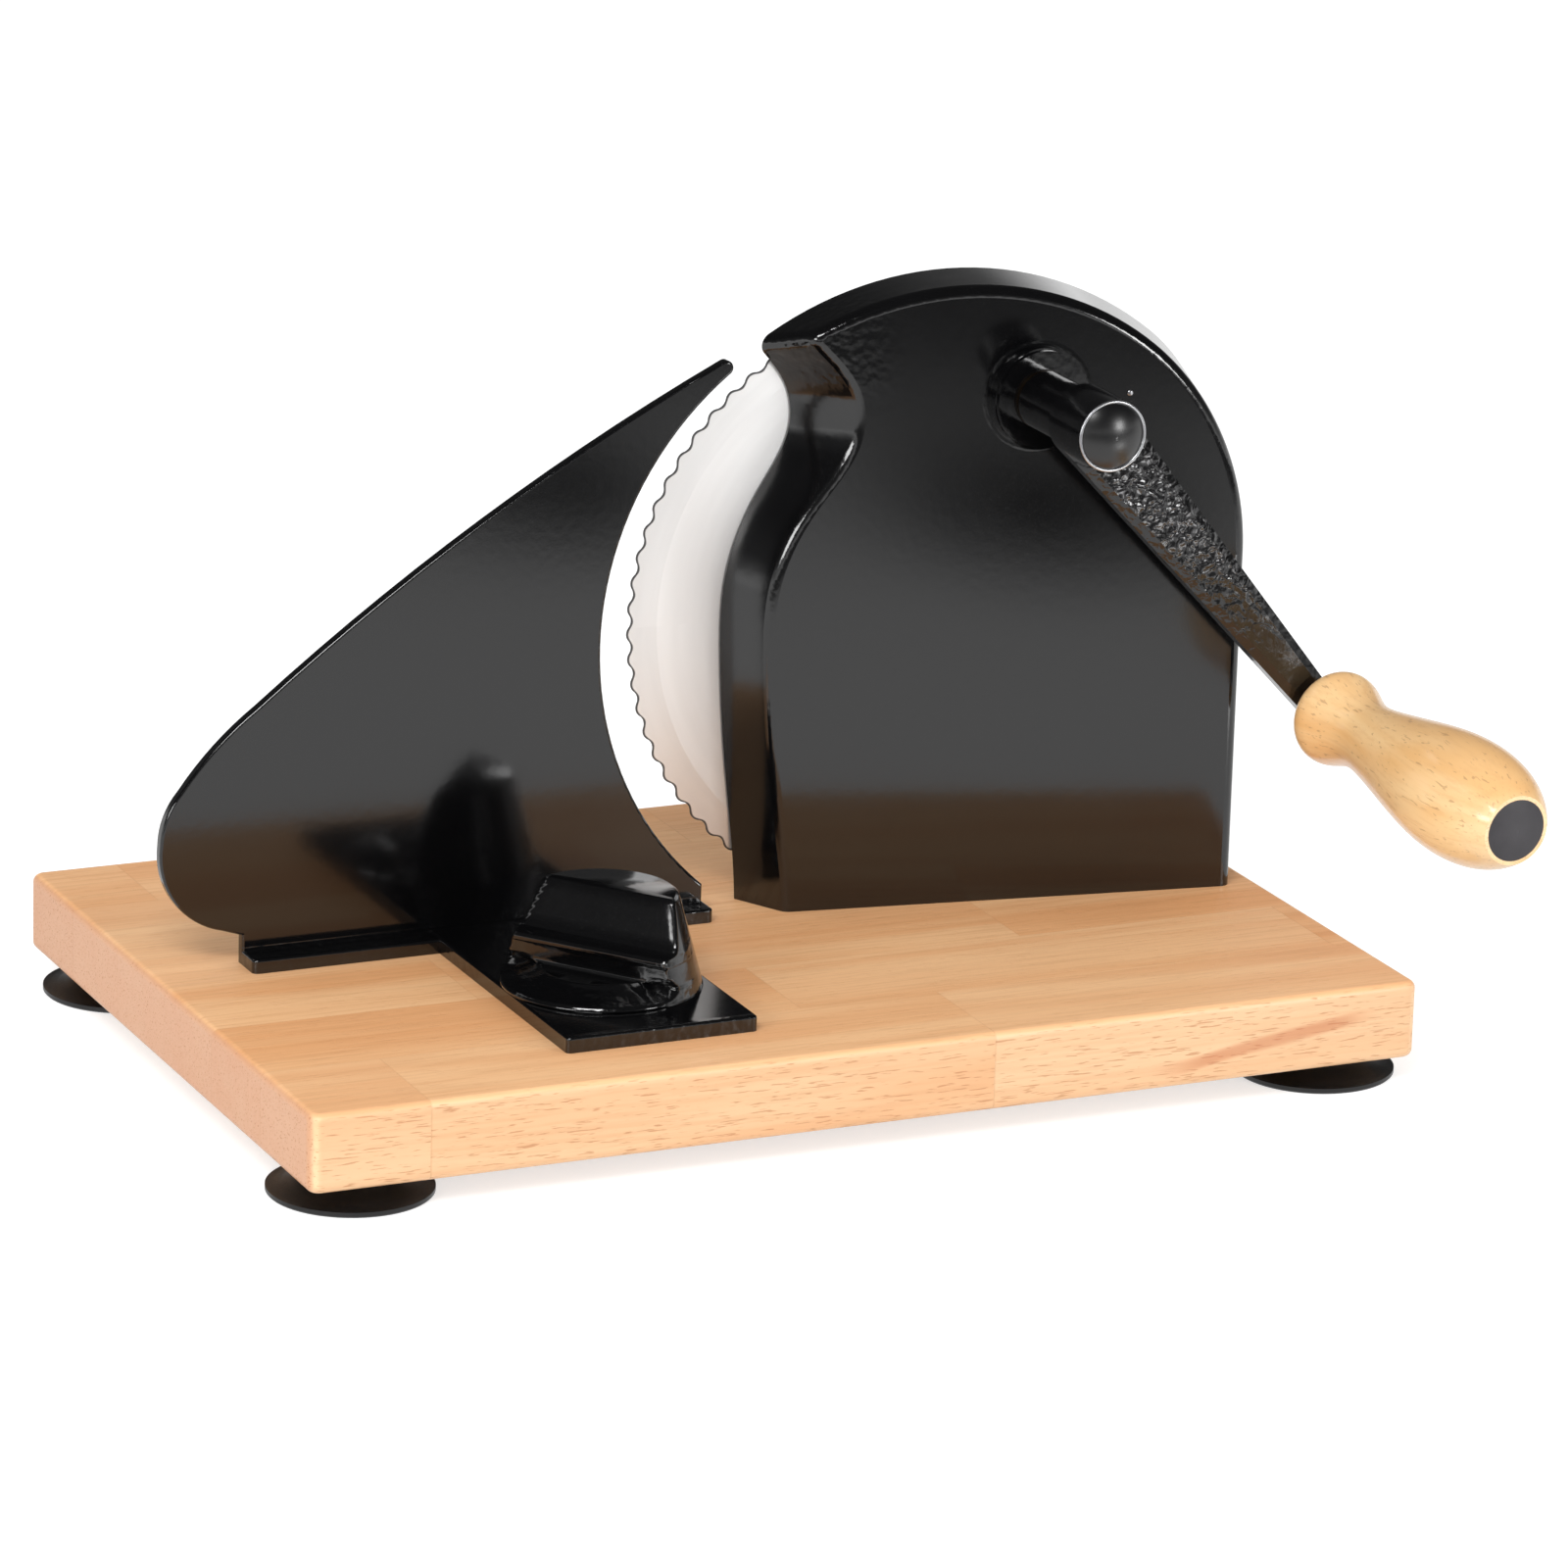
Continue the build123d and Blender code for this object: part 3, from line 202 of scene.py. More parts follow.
def board_wood():
    """Each stave has its own cut of the grain and its own tint; a reddish streak crosses the front
    near its right end."""
    wood = Finish("board_wood", IOR=1.45)
    spot = wood.place()
    x = wood.part(spot, "X")
    y = wood.part(spot, "Y")
    z = wood.part(spot, "Z")
    row = wood.node("ShaderNodeMath", {"operation": "FLOOR"}, {0: (y - board_low.y) / stave_width})
    shift = wood.node("ShaderNodeTexWhiteNoise", {"noise_dimensions": "1D"}, {"W": row * 3.7 + 1.0}, "Value")
    along = (x - stave_start) / stave_length + shift * wood.band(row, 0.1, 0.9)
    stave = wood.node("ShaderNodeMath", {"operation": "FLOOR"}, {0: along})
    tint = wood.node("ShaderNodeTexWhiteNoise", {"noise_dimensions": "1D"}, {"W": stave * 7.3 + row * 2.9}, "Value")
    moved = wood.node("ShaderNodeCombineXYZ", None, {"X": x + stave * 0.37, "Y": y + row * 0.11, "Z": z + tint * 0.3})
    grain = wood.node("ShaderNodeVectorMath", {"operation": "MULTIPLY"}, {0: moved, 1: (3.0, 46.0, 46.0)})
    bands = wood.noise(grain, 1.0, 3.0, 0.55, 0.7)
    fine = wood.node("ShaderNodeVectorMath", {"operation": "MULTIPLY"}, {0: moved, 1: (26.0, 620.0, 620.0)})
    lines = wood.noise(fine, 1.0, 3.0, 0.6)
    speck = wood.node("ShaderNodeVectorMath", {"operation": "MULTIPLY"}, {0: moved, 1: (150.0, 1100.0, 1900.0)})
    pores = wood.band(wood.noise(speck, 1.0, 1.5, 0.5, 0.25), 0.600, 0.69)
    on_top = wood.band(z, board_high.z - 0.0016, board_high.z - 0.0004)
    on_end = 1.0 - wood.band(x, board_low.x + 0.0003, board_low.x + 0.0016)
    colour = wood.blend(wood.band(bands, 0.30, 0.72), paint(246, 206, 162), paint(236, 178, 128))
    colour = wood.blend(on_top * 0.75, colour, wood.blend(wood.band(bands, 0.30, 0.75), paint(246, 190, 136),
                                                         paint(232, 166, 110)))
    colour = wood.blend(wood.band(lines, 0.42, 0.68) * 0.30, colour, paint(204, 146, 96))
    colour = wood.blend(wood.band(tint, 0.0, 1.0) * (0.30 - 0.16 * on_top), colour, paint(255, 226, 186))
    colour = wood.blend(on_end * 0.80, colour, paint(206, 152, 118))
    colour = wood.blend(pores * (0.55 - 0.43 * on_top), colour, paint(176, 112, 66))
    streak_way = (z - streak_z) - (x - streak_x) * streak_slope + wood.noise(spot, 24.0, 1.0) * 0.006 - 0.003
    streak = 1.0 - wood.band(streak_way * streak_way, 0.0, 0.0000075)
    streak = streak * wood.band(x, 0.075, 0.100) * (1.0 - wood.band(x, 0.140, 0.158)) * (1.0 - on_top)
    colour = wood.blend(streak * 0.6, colour, paint(196, 116, 74))
    joint = wood.node("ShaderNodeMath", {"operation": "FRACT"}, {0: along})
    joint = 1.0 - wood.band(joint, 0.0, 0.004)
    seam = wood.node("ShaderNodeMath", {"operation": "FRACT"}, {0: (y - board_low.y) / stave_width})
    seam = 1.0 - wood.band(seam, 0.0, 0.012)
    colour = wood.blend((joint + seam) * 0.22, colour, paint(176, 118, 78))
    relief = lines * 0.5 - pores * 0.8 - (joint + seam) * 0.4
    wood.feed(Base_Color=colour, Roughness=0.30 + 0.16 * lines + 0.14 * pores,
              Normal=wood.bump(relief, 0.00012, 0.55))
    return wood


finish_nodes(board_wood(), "base_board")

# ---- feet -------------------------------------------------------------------------------------
# Four moulded black rubber suckers, each held by a pan-head screw up into the board. The rubber
# has a soft skin, a little dust and faint rings from the mould.
foot_names = ["suction_foot_" + corner for corner in ("fl", "fr", "bl", "br")]
mould_rings = 2600.0


def foot_rubber(centre):
    rubber = Finish("foot_rubber", IOR=1.5)
    spot = rubber.place(centre)
    x = rubber.part(spot, "X")
    y = rubber.part(spot, "Y")
    rings = rubber.node("ShaderNodeMath", {"operation": "SINE"}, {0: rubber.root(x * x + y * y) * mould_rings})
    skin = rubber.noise(spot, 900.0, 3.0, 0.6)
    dust = rubber.band(rubber.noise(spot, 90.0, 4.0, 0.6), 0.52, 0.80)
    rubber.feed(Base_Color=rubber.blend(dust * 0.35, paint(13, 12, 13), paint(46, 43, 43)),
                Roughness=0.34 + 0.14 * skin + 0.12 * dust,
                Normal=rubber.bump(skin + rings * 0.25, 0.00008, 0.5))
    return rubber


for foot_name in foot_names:
    foot_low, foot_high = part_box(foot_name)
    finish_nodes(foot_rubber((foot_low + foot_high) / 2), foot_name)


def bright_steel():
    """Zinc-bright steel of the screws, pins and nuts: fine turning marks and dull patches."""
    steel = Finish("bright_steel", Metallic=1.0)
    marks = steel.noise(steel.place(stretch=(1, 6, 1)), 1400.0, 2.0)
    patches = steel.noise(steel.place(), 160.0, 3.0)
    steel.feed(Base_Color=steel.blend(steel.band(patches, 0.35, 0.7), paint(205, 206, 208), paint(168, 168, 172)),
               Roughness=0.22 + 0.20 * patches,
               Normal=steel.bump(marks, 0.00003, 0.4))
    return steel


steel_finish = bright_steel()
finish_nodes(steel_finish, "foot_screws")

# ---- gear housing -----------------------------------------------------------------------------
# One iron casting with a slanting front face, an arched top wall and an S-shaped deflector,
# coated in thick glossy black enamel; a small steel dot shows on its front. A sheet steel cover
# closes it behind the gears, and screws come up into it through the board.


def black_enamel(name, lumps, shine=0.085, more=None):
    """Glossy black enamel; more(enamel, spot) may give where the coat is lumpier than elsewhere."""
    enamel = Finish(name, IOR=1.68)
    spot = enamel.place()
    if more:
        lumps = lumps + more(enamel, spot)
    lump = enamel.noise(spot, 330.0, 1.0, 0.4)
    peel = enamel.noise(spot, 1500.0, 1.0, 0.5)
    haze = enamel.noise(spot, 28.0, 3.0, 0.6)
    dust = enamel.band(enamel.noise(spot, 2600.0, 0.0), 0.74, 0.80)
    enamel.feed(Base_Color=enamel.blend(haze, paint(4, 4, 5), paint(10, 10, 11)),
                Roughness=shine + 0.05 * haze + 0.10 * dust,
                Normal=enamel.bump(lump * lumps + peel * 0.03, 0.00022, 0.35))
    return enamel


def joint_named(name):
    return next(j for j in frame["joints"] if j["name"] == name)


crank_centre = Vector(joint_named("crank_turn")["pos_m"])
tip_x = (0.020, 0.048)
tip_z = (0.200, 0.208)
boss_edge = (0.0170, 0.0182)


def from_crank(sheet):
    """Distance from the crank's axis, in metres."""
    spot = sheet.place(crank_centre)
    x = sheet.part(spot, "X")
    z = sheet.part(spot, "Z")
    return sheet.root(x * x + z * z)


def housing_lumps(enamel, spot):
    """The coat is hammered at the arch's left tip and on the crank's boss."""
    left = 1.0 - enamel.band(enamel.part(spot, "X"), *tip_x)
    tip = left * enamel.band(enamel.part(spot, "Z"), *tip_z)
    boss = 1.0 - enamel.band(from_crank(enamel), *boss_edge)
    return tip * 2.6 + boss * 0.9


finish_nodes(black_enamel("housing_enamel", 0.10, more=housing_lumps), "gear_housing")
merge_distance = 0.000005


def grid_piece(name, spots, wrap_rows=False):
    """A smooth closed piece whose faces join the neighbours in a rows x columns grid of points.
    Columns run on round to the first, and rows too where wrap_rows says so; points that fall
    together, as at a pole, are made one."""
    rows, columns = spots.shape[:2]
    n = np.arange(rows * columns).reshape(rows, columns)
    if wrap_rows:
        n = np.vstack([n, n[:1]])
    n = np.hstack([n, n[:, :1]])
    corners = [n[:-1, :-1], n[:-1, 1:], n[1:, 1:], n[1:, :-1]]
    faces = np.stack([c.ravel() for c in corners], 1)
    mesh = bpy.data.meshes.new(name)
    mesh.from_pydata(spots.reshape(-1, 3).tolist(), [], faces.tolist())
    mesh.polygons.foreach_set("use_smooth", np.ones(len(mesh.polygons), bool))
    mesh.update()
    piece = bpy.data.objects.new(name, mesh)
    bpy.context.scene.collection.objects.link(piece)
    merge = piece.modifiers.new("merge", "WELD")
    merge.merge_threshold = merge_distance
    return piece


oil_dot_place = Vector((0.11978, 0.00518, 0.19992))
oil_dot_radius = 0.0010
face_turn = math.radians(8.8)


def dome(name, place, radius, rows=8, columns=24):
    """A low dome on the front face, which is turned by face_turn: the point at angle a and rise b
    lies radius cos b from the dome's axis and half a radius times sin b off the face."""
    a = np.linspace(0.0, 2 * np.pi, columns, endpoint=False)[None, :]
    b = np.linspace(0.0, np.pi / 2, rows)[:, None]
    across = radius * np.cos(b) * np.cos(a)
    off = 0.5 * radius * np.sin(b) + 0 * a
    up = radius * np.cos(b) * np.sin(a)
    spots = np.stack([place.x + across * np.cos(face_turn) - off * np.sin(face_turn),
                      place.y - across * np.sin(face_turn) - off * np.cos(face_turn), place.z + up], 2)
    foot = np.zeros((1, columns, 3)) + np.array(place)
    return grid_piece(name, np.concatenate([foot, spots]))


oil_dot = dome("oil_dot", oil_dot_place, oil_dot_radius)
oil_dot.data.materials.append(steel_finish.material)
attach(oil_dot, "base")


def sheet_steel():
    """Rolled sheet: fine lines along its length."""
    sheet = Finish("sheet_steel", Metallic=1.0)
    lines = sheet.noise(sheet.place(stretch=(30, 30, 900)), 1.0, 3.0)
    cloud = sheet.noise(sheet.place(), 24.0, 3.0)
    sheet.feed(Base_Color=sheet.blend(cloud, paint(172, 174, 178), paint(140, 142, 147)),
               Roughness=0.30 + 0.18 * lines, Normal=sheet.bump(lines, 0.00003, 0.4))
    return sheet


finish_nodes(sheet_steel(), "rear_cover")
finish_nodes(steel_finish, "housing_screws", "cover_screws", "blade_stud", "blade_washer", "blade_nut")


def bronze():
    """Sintered bronze: fine open grain and darker patches."""
    metal = Finish("bronze", Metallic=1.0)
    grain = metal.noise(metal.place(), 2200.0, 2.0)
    cloud = metal.noise(metal.place(), 120.0, 3.0)
    metal.feed(Base_Color=metal.blend(cloud, paint(196, 150, 88), paint(150, 104, 58)),
               Roughness=0.30 + 0.25 * grain, Normal=metal.bump(grain, 0.00003, 0.5))
    return metal


bronze_finish = bronze()


def dark_bronze():
    """The crank's bush, a bronze coloured nearly black."""
    metal = Finish("dark_bronze", Metallic=1.0)
    grain = metal.noise(metal.place(), 900.0, 3.0)
    metal.feed(Base_Color=metal.blend(grain, paint(40, 32, 24), paint(64, 50, 36)),
               Roughness=0.35 + 0.25 * grain, Normal=metal.bump(grain, 0.00003, 0.5))
    return metal


finish_nodes(dark_bronze(), "crank_bush")

# ---- crank ------------------------------------------------------------------------------------
# Steel shaft with its pinion and clip inside the housing; outside, an enamelled sleeve and a cast
# arm in hammered enamel, clamped by a nut under a domed cap in the hub's polished rim.
finish_nodes(steel_finish, "crank_shaft", "crank_pinion", "pinion_pin", "shaft_clip", "crank_nut",
             "handle_spindle", "spindle_nut")
finish_nodes(black_enamel("sleeve_enamel", 0.25), "crank_sleeve")
beaten_start = (0.0118, 0.0140)
beaten_end = (0.070, 0.105)


def hammered_enamel():
    """The hub is smooth; the hammering starts at its edge and fades out down the arm."""
    arm = Finish("hammered_enamel", IOR=1.68)
    spot = arm.place()
    warp = arm.noise(spot, 150.0, 1.0)
    cell = arm.node("ShaderNodeTexVoronoi", {"feature": "SMOOTH_F1"},
                    {"Vector": spot, "Scale": 330.0, "Smoothness": 0.5}, "Distance")
    ripple = arm.noise(spot, 310.0, 1.5, 0.5, 0.9)
    reach = from_crank(arm)
    beaten = arm.band(reach, *beaten_start) * (1.0 - 0.85 * arm.band(reach, *beaten_end))
    relief = (cell * 0.6 + ripple * 0.9 + warp * 0.4) * beaten + ripple * 0.03
    arm.feed(Base_Color=arm.blend(warp, paint(4, 4, 5), paint(12, 12, 13)),
             Roughness=0.10 + 0.06 * ripple, Normal=arm.bump(relief, 0.0010, 0.6))
    return arm


finish_nodes(hammered_enamel(), "crank_arm")
finish_nodes(black_enamel("cap_enamel", 0.05, 0.27), "hub_cap")
arm_low, arm_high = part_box("crank_arm")
hub_radius = 0.0115
rim_tube = 0.00055
rim_depth = 0.0006
rim_sink = 0.0001


def ring(name, centre, radius, tube, depth, sides=96, turns=12):
    """A rounded ring round an axis along Y: the point at angle a and tube angle b lies at
    (radius + tube cos b) from the axis, and depth sin b along it."""
    a = np.linspace(0.0, 2 * np.pi, sides, endpoint=False)[:, None]
    b = np.linspace(0.0, 2 * np.pi, turns, endpoint=False)[None, :]
    out = radius + tube * np.cos(b)
    spots = np.stack([centre.x + out * np.cos(a), centre.y + depth * np.sin(b) + 0 * a,
                      centre.z + out * np.sin(a)], 2)
    return grid_piece(name, spots, wrap_rows=True)


rim_centre = Vector((crank_centre.x, arm_low.y + rim_sink, crank_centre.z))
hub_rim = ring("hub_rim", rim_centre, hub_radius - rim_tube, rim_tube, rim_depth)
hub_rim.data.materials.append(steel_finish.material)
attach(hub_rim, "crank")

# ---- handle -----------------------------------------------------------------------------------
# Turned from light hardwood, sanded and lacquered, with a bronze bush pressed in; a moulded dark
# plug closes the end over the spindle's nut.
grip_turn = joint_named("handle_spin")
grip_foot = Vector(grip_turn["pos_m"])
grip_way = Vector(grip_turn["axis"]).normalized()
grip_angles = tuple(grip_way.to_track_quat("Z", "Y").inverted().to_euler("XYZ"))


def handle_wood():
    """The grain runs along the grip."""
    wood = Finish("handle_wood", IOR=1.5, Coat_Roughness=0.12, Coat_IOR=1.5)

    def along_grip(stretch, detail, rough=0.5, wander=0.0):
        return wood.noise(wood.place(grip_foot, grip_angles, stretch), 1.0, detail, rough, wander)

    bands = along_grip((42, 70, 7), 2.0, 0.5, 1.1)
    lines = along_grip((520, 700, 42), 3.0, 0.6)
    pores = wood.band(along_grip((1150, 1150, 150), 1.0, 0.5, 0.4), 0.63, 0.72)
    cloud = wood.noise(wood.place(grip_foot, grip_angles), 40.0, 2.0)
    colour = wood.blend(wood.band(bands, 0.32, 0.70), paint(244, 204, 148), paint(232, 178, 112))
    colour = wood.blend(wood.band(lines, 0.45, 0.70) * 0.25, colour, paint(206, 150, 92))
    colour = wood.blend(pores * 0.50, colour, paint(150, 98, 56))
    colour = wood.blend(cloud * 0.25, colour, paint(252, 224, 180))
    wood.feed(Base_Color=colour, Roughness=0.36 + 0.12 * lines, Coat_Weight=0.55 + 0.15 * cloud,
              Normal=wood.bump(lines * 0.4 - pores * 0.6, 0.00010, 0.5))
    return wood


finish_nodes(handle_wood(), "handle_grip")
finish_nodes(bronze_finish, "handle_bush", "gear_bush", "knob_insert")


def plug_plastic():
    """Moulded plastic with a fine matt skin."""
    plug = Finish("plug_plastic", IOR=1.5)
    skin = plug.noise(plug.place(), 2400.0, 2.0)
    cloud = plug.noise(plug.place(), 260.0, 3.0)
    plug.feed(Base_Color=plug.blend(cloud, paint(44, 42, 45), paint(56, 53, 57)),
              Roughness=0.42 + 0.12 * skin, Normal=plug.bump(skin, 0.00004, 0.6))
    return plug


finish_nodes(plug_plastic(), "handle_end_cap")

# ---- blade ------------------------------------------------------------------------------------
# Stainless disc with a wavy ground edge, brushed round its centre, screwed to a moulded gear.
blade_low, blade_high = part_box("blade_disc")
blade_centre = (blade_low + blade_high) / 2
blade_radius = (blade_high.x - blade_low.x) / 2
wave_count = 72
wave_depth = 0.0015
edge_shade_band = (0.00035, 0.00075)


def blade_steel():
    """Brushed rings, painted shade low down beside the deflector, and a painted dark shade line along the
    wavy edge, whose radius swings by half the waves' depth either way."""
    steel = Finish("blade_steel", Metallic=0.86)
    spot = steel.place(blade_centre)
    x = steel.part(spot, "X")
    z = steel.part(spot, "Z")
    radius = steel.root(x * x + z * z)
    turn = steel.node("ShaderNodeMath", {"operation": "ARCTAN2"}, {0: z, 1: x})
    brushed = steel.node("ShaderNodeCombineXYZ", None, {"X": radius * 2600.0, "Y": turn * 4.0, "Z": 0.0})
    brushed = steel.noise(brushed, 1.0, 2.0, 0.6)
    broad = steel.node("ShaderNodeCombineXYZ", None, {"X": radius * 240.0, "Y": turn * 1.5, "Z": 0.0})
    broad = steel.noise(broad, 1.0, 2.0, 0.5)
    colour = steel.blend(broad, paint(252, 251, 250), paint(240, 239, 238))
    # painted shade: the blade is darkened low down beside the deflector
    painted_shade = steel.band(x, -0.092, -0.068) * (1.0 - steel.band(z, 0.010, 0.060))
    colour = steel.blend(painted_shade * 0.6, colour, paint(196, 192, 190))
    # painted shade: a dark line along the wavy edge stands for the shaded side of its grind
    waves = steel.node("ShaderNodeMath", {"operation": "SINE"}, {0: turn * wave_count})
    edge = blade_radius - wave_depth / 2 + waves * (wave_depth / 2) - radius
    line = 1.0 - steel.band(edge, *edge_shade_band)
    steel.feed(Base_Color=steel.blend(line * 0.9, colour, paint(38, 38, 40)),
               Roughness=0.38 + 0.12 * brushed, Normal=steel.bump(brushed, 0.00001, 0.25))
    return steel


finish_nodes(blade_steel(), "blade_disc")


def gear_plastic():
    """White acetal, slightly waxy, with faint mould flow."""
    plastic = Finish("gear_plastic", IOR=1.5, Subsurface_Weight=0.05)
    flow = plastic.noise(plastic.place(), 60.0, 3.0, 0.6, 1.0)
    plastic.feed(Base_Color=plastic.blend(flow, paint(232, 230, 222), paint(216, 213, 203)),
                 Roughness=0.34 + 0.15 * flow, Normal=plastic.bump(flow, 0.00005, 0.4))
    return plastic


finish_nodes(gear_plastic(), "blade_gear")
finish_nodes(steel_finish, "blade_screws")

# ---- stop plate -------------------------------------------------------------------------------
# Cast plate in the same enamel, with its foot flange and the tongue that carries the knob; a
# steel key under the tongue runs in the board.
plate_low, plate_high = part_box("stop_plate")
flange_top = board_high.z + 0.0052
flange_fade = 0.0006
flange_front = (-0.012, -0.008)


def plate_lumps(enamel, spot):
    """The coat has run into beads along the tongue's front and the flange."""
    y = enamel.part(spot, "Y")
    z = enamel.part(spot, "Z")
    tongue = 1.0 - enamel.band(y, plate_low.y + 0.0004, plate_low.y + 0.0030)
    flange = (1.0 - enamel.band(z, flange_top, flange_top + flange_fade)) * enamel.band(y, *flange_front)
    return tongue * 2.2 + flange * 1.6


finish_nodes(black_enamel("plate_enamel", 0.12, more=plate_lumps), "stop_plate")
finish_nodes(steel_finish, "guide_key", "key_screws")

# ---- adjuster ---------------------------------------------------------------------------------
# Moulded black knob, a tapered round with a slanting flat front above a ledge and a low skirt. It
# sits on a steel spindle with a spiral-grooved disc under the tongue; the knob stands over the
# CAD's plain one and clears its brass insert.
knob_place = Vector(joint_named("knob_turn")["pos_m"])
knob_angle = math.radians(-53.0)
knob_base = 0.0315        # the cone's radius at its foot
knob_taper = 0.0082       # how much less it is at the top
knob_height = 0.0292
knob_heart = 0.008        # where the knob is seen from, behind its axis
top_round = 0.0009        # taken off the cone's radius over the last rise of top_rise
top_rise = 0.0008
front_start = 0.013       # the front's circle gives way to the cone over front_width from here
front_width = 0.015
front_reach = 1.3         # how far the front's circle may grow, as a share of the cone's
corner_round = 0.0006     # round where the front's circle and the flat meet
side_round = 0.0007       # round where the front and the cone meet
side_width = 0.003        # over which the height goes from the back's to the front's
# radius in front, distance of the flat front from the axis, height in front, height at the back,
# lumpiness; in millimetres, from the base over the skirt, the ledge and the flat face to the top
knob_profile = np.array([
    (31.2, -40.0, 0.0, 0.0, 0.5), (31.5, -40.0, 0.7, 0.7, 1.0), (30.8, -40.0, 1.4, 1.5, 1.0),
    (25.2, -40.0, 3.0, 2.8, 1.0), (20.6, -40.0, 4.6, 3.8, 0.8), (19.4, -40.0, 5.2, 4.3, 0.5),
    (18.6, -40.0, 5.3, 4.6, 0.4), (17.8, -40.0, 4.8, 4.9, 0.2), (19.0, -12.0, 4.7, 5.2, 0.1),
    (20.5, -7.6, 4.8, 5.6, 0.1), (22.0, -7.2, 5.8, 6.2, 0.2), (40.0, -7.6, 10.8, 10.8, 0.6),
    (40.0, -7.9, 11.3, 11.3, 1.0), (40.0, -8.0, 12.4, 12.4, 1.0), (40.0, -7.4, 13.3, 13.3, 1.0),
    (40.0, -4.0, 13.8, 13.8, 1.0), (40.0, -2.3, 14.3, 14.3, 0.8), (40.0, -1.2, 16.0, 16.0, 0.1),
    (40.0, 3.2, 27.6, 27.6, 0.1), (40.0, 3.8, 28.7, 28.7, 0.4), (40.0, 4.6, 29.1, 29.1, 0.3),
    (40.0, 5.6, 29.2, 29.2, 0.1)])


def softer(first, second, width):
    """The lesser of two arrays, rounded where they cross, within width."""
    gap = np.clip(0.5 + 0.5 * (second - first) / width, 0.0, 1.0)
    return second + (first - second) * gap - width * gap * (1 - gap)


def knob_surface(name, columns=256, steps=5):
    """A round tapered knob cut by a flat front. Seen from a heart behind the axis, each direction
    reaches the lesser of the cone's circle, the front's circle and the flat; the height goes over
    from the front's to the back's as the flat stops being the nearer one."""
    way = np.linspace(0.0, 2 * np.pi, columns, endpoint=False)[None, :]
    at = np.linspace(0, len(knob_profile) - 1, (len(knob_profile) - 1) * steps + 1)
    front, flat, low, high, lumps = [np.interp(at, np.arange(len(knob_profile)), column)[:, None]
                                     for column in knob_profile.T]
    front, flat, low, high = front / 1000, flat / 1000, low / 1000, high / 1000
    side = knob_heart * np.sin(way)
    cone = knob_base - knob_taper * high / knob_height
    cone = cone - top_round * np.clip((high - knob_height + top_rise) / top_rise, 0, 1)
    to_cone = np.sqrt(side ** 2 + cone ** 2 - knob_heart ** 2) - side
    far = knob_heart + to_cone * np.sin(way)
    behind = np.clip((far + front_start) / front_width, 0.0, 1.0)
    behind = behind * behind * (3 - 2 * behind)
    widest = knob_base * front_reach
    circle = np.minimum(front + (widest - front) * behind, widest)
    to_circle = np.sqrt(side ** 2 + circle ** 2 - knob_heart ** 2) - side
    facing = np.maximum(-np.sin(way), 1e-6)
    to_flat = np.minimum((knob_heart - flat) / facing, 0.2)
    to_front = softer(to_circle, to_flat, corner_round)
    share = np.clip((to_cone - to_front) / side_width, 0.0, 1.0)
    height = high + (low - high) * share
    reach = softer(to_cone, to_front, side_round)
    s = reach * np.cos(way)
    t = knob_heart + reach * np.sin(way)
    middle = np.array([[0.0, knob_heart, knob_height]]) + np.zeros((columns, 1))
    foot = np.array([[0.0, knob_heart, 0.0]]) + np.zeros((columns, 1))
    spots = np.stack([s, t, height + 0 * s], 2)
    spots = np.concatenate([foot[None], spots[:1] * (1, 1, 0), spots, middle[None]])
    lumps = np.concatenate([[0.0], [0.0], lumps[:, 0], [0.1]])
    x = knob_place.x + spots[..., 0] * math.cos(knob_angle) - spots[..., 1] * math.sin(knob_angle)
    y = knob_place.y + spots[..., 0] * math.sin(knob_angle) + spots[..., 1] * math.cos(knob_angle)
    piece = grid_piece(name, np.stack([x, y, knob_place.z + spots[..., 2]], 2))
    lumpy = piece.data.attributes.new("lumps", "FLOAT", "POINT")
    lumpy.data.foreach_set("value", np.repeat(lumps, columns).astype(np.float32))
    return piece


def knob_lumps(enamel, spot):
    return enamel.node("ShaderNodeAttribute", {"attribute_name": "lumps"}, None, "Fac") * 2.6


knob = knob_surface("knob_shell")
knob.data.materials.append(black_enamel("knob_enamel", 0.05, 0.10, knob_lumps).material)
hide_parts("adjusting_knob")
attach(knob, "knob")
finish_nodes(steel_finish, "knob_spindle", "spiral_cam", "cam_pin", "slide_washer", "slide_nut")

# ---- table, surroundings and lamps ------------------------------------------------------------
# A plain white table; mirror rays see it glow as a painted reflection, darker far in front and in one
# painted dark spot, and brighter in a painted bright spot where the crank arm looks; a white surround near
# the horizon, a dim ceiling, and three soft lamps at the upper left, the left and the low right.
far_front = (0.42, 0.95)
# painted reflection: a dark spot in the table's glow that only mirror rays see
painted_dark_reflection = (0.19, -0.60, 0.0)
dark_spot_edge = (0.010, 0.105)
dark_spot_shape = (1, 0.62, 1)
# painted reflection: a bright spot in the table's glow that only mirror rays see, mirrored in the crank arm
painted_bright_reflection = (0.325, -0.36, 0.0)
bright_spot_edge = (0.045, 0.090)
table_size = 6.0
table_mesh = bpy.data.meshes.new("table")
corners = np.array([(-1, -1, 0), (1, -1, 0), (1, 1, 0), (-1, 1, 0)], float) * table_size
table_mesh.from_pydata(corners.tolist(), [], [(0, 1, 2, 3)])
table = bpy.data.objects.new("table", table_mesh)
bpy.context.scene.collection.objects.link(table)
table_finish = Finish("table")
ahead = -table_finish.part(table_finish.place(), "Y")
mirrored = 1.0 - 0.90 * table_finish.band(ahead, *far_front)
shade = table_finish.length(table_finish.place(painted_dark_reflection, stretch=dark_spot_shape))
mirrored = mirrored * table_finish.band(shade, *dark_spot_edge)
gleam = table_finish.length(table_finish.place(painted_bright_reflection))
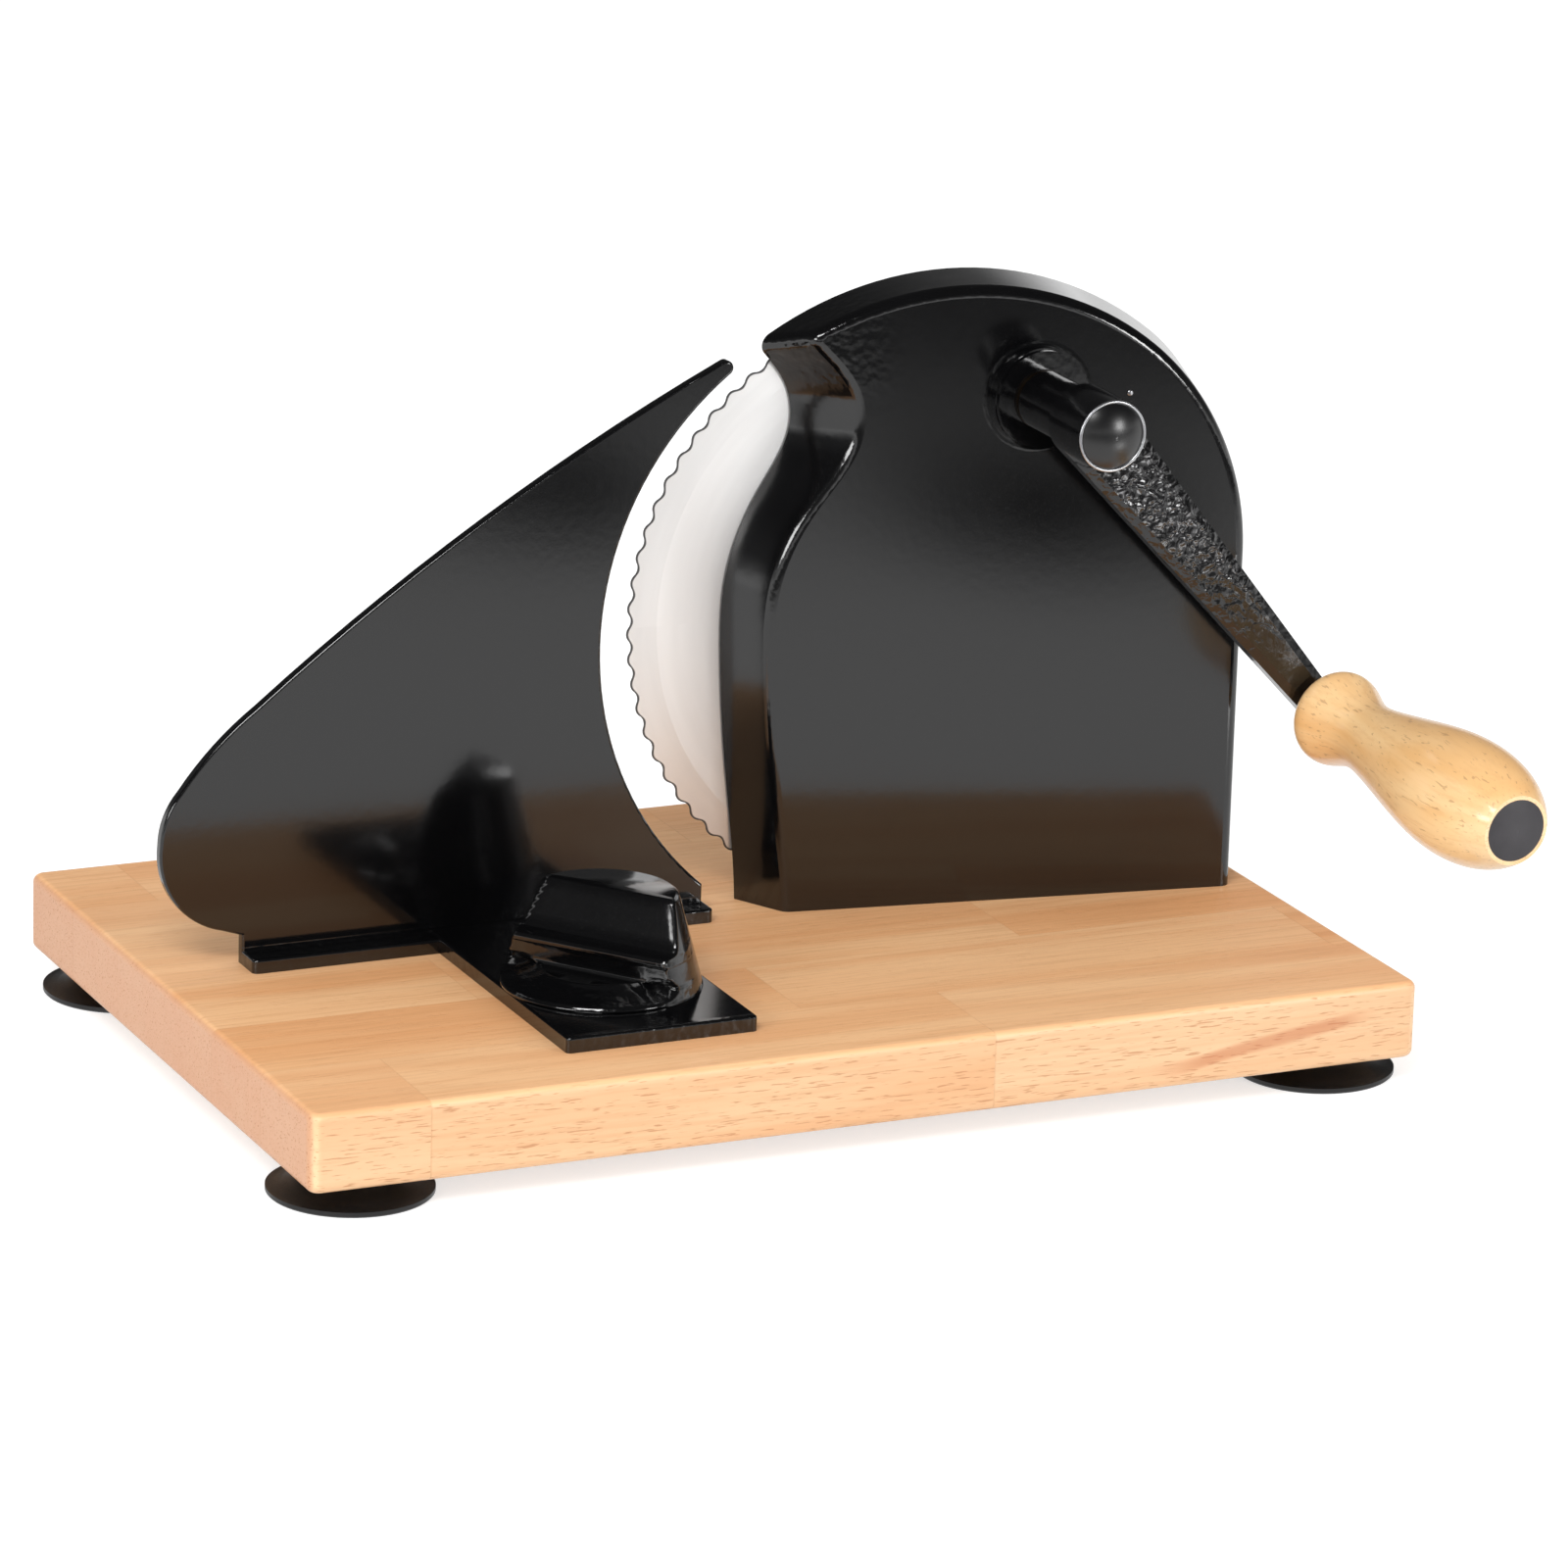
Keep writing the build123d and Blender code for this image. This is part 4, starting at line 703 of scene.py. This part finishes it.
mirrored = mirrored + 5.0 * (1.0 - table_finish.band(gleam, *bright_spot_edge))
glow = table_finish.node("ShaderNodeEmission", None, {"Color": (1, 1, 1, 1), "Strength": 0.64})
pale = table_finish.node("ShaderNodeBsdfDiffuse", None, {"Color": (0.56, 0.56, 0.56, 1)})
mirror_glow = table_finish.node("ShaderNodeEmission", None, {"Color": (1, 1, 1, 1), "Strength": mirrored})
matt = table_finish.node("ShaderNodeBsdfDiffuse", None, {"Color": (0.8, 0.8, 0.8, 1)})
ray = table_finish.node("ShaderNodeLightPath", None, None, "Is Camera Ray")
shine_ray = table_finish.node("ShaderNodeLightPath", None, None, "Is Glossy Ray")
seen = table_finish.node("ShaderNodeAddShader", None, {0: pale, 1: glow})
look = table_finish.node("ShaderNodeMixShader", None, {0: ray, 1: matt, 2: seen})
look = table_finish.node("ShaderNodeMixShader", None, {0: shine_ray, 1: look, 2: mirror_glow})
table_finish.tree.links.new(look.socket, table_finish.tree.nodes["Material Output"].inputs["Surface"])
table_mesh.materials.append(table_finish.material)

world = bpy.data.worlds.new("surround")
world.use_nodes = True
bpy.context.scene.world = world
sky = Sheet(world.node_tree)
way = sky.node("ShaderNodeTexCoord", out="Generated")
height = sky.part(way, "Z")
ceiling = 1.7 - 1.58 * sky.band(height, -0.10, 0.18) - 0.08 * sky.band(height, 0.18, 0.45)
direct = sky.node("ShaderNodeLightPath", None, None, "Is Camera Ray")
mirror_ray = sky.node("ShaderNodeLightPath", None, None, "Is Glossy Ray")
clear_ray = sky.node("ShaderNodeLightPath", None, None, "Is Transmission Ray")
soft = 0.72
strength = direct + clear_ray + mirror_ray * ceiling + (1.0 - direct - mirror_ray - clear_ray) * soft
backdrop = world.node_tree.nodes["Background"]
backdrop.inputs["Color"].default_value = (1, 1, 1, 1)
world.node_tree.links.new(strength.socket, backdrop.inputs["Strength"])


def lamp(name, place, aim, width, height, power):
    """A soft rectangular lamp at place, turned towards aim."""
    light = bpy.data.lights.new(name, "AREA")
    light.shape = "RECTANGLE"
    light.size = width
    light.size_y = height
    light.energy = power
    made = bpy.data.objects.new(name, light)
    made.location = place
    made.rotation_euler = (Vector(aim) - Vector(place)).to_track_quat("-Z", "Y").to_euler()
    bpy.context.scene.collection.objects.link(made)


lamp("key", (-1.1, -1.4, 1.7), (0, 0, 0.1), 1.1, 0.45, 24.0)
lamp("left", (-1.55, -0.85, 0.62), (0, 0, 0.12), 0.6, 0.4, 8.0)
lamp("side", (1.0, -1.55, 0.50), (0.1, 0, 0.15), 0.42, 0.42, 8.0)

bpy.context.scene.view_settings.view_transform = "Standard"
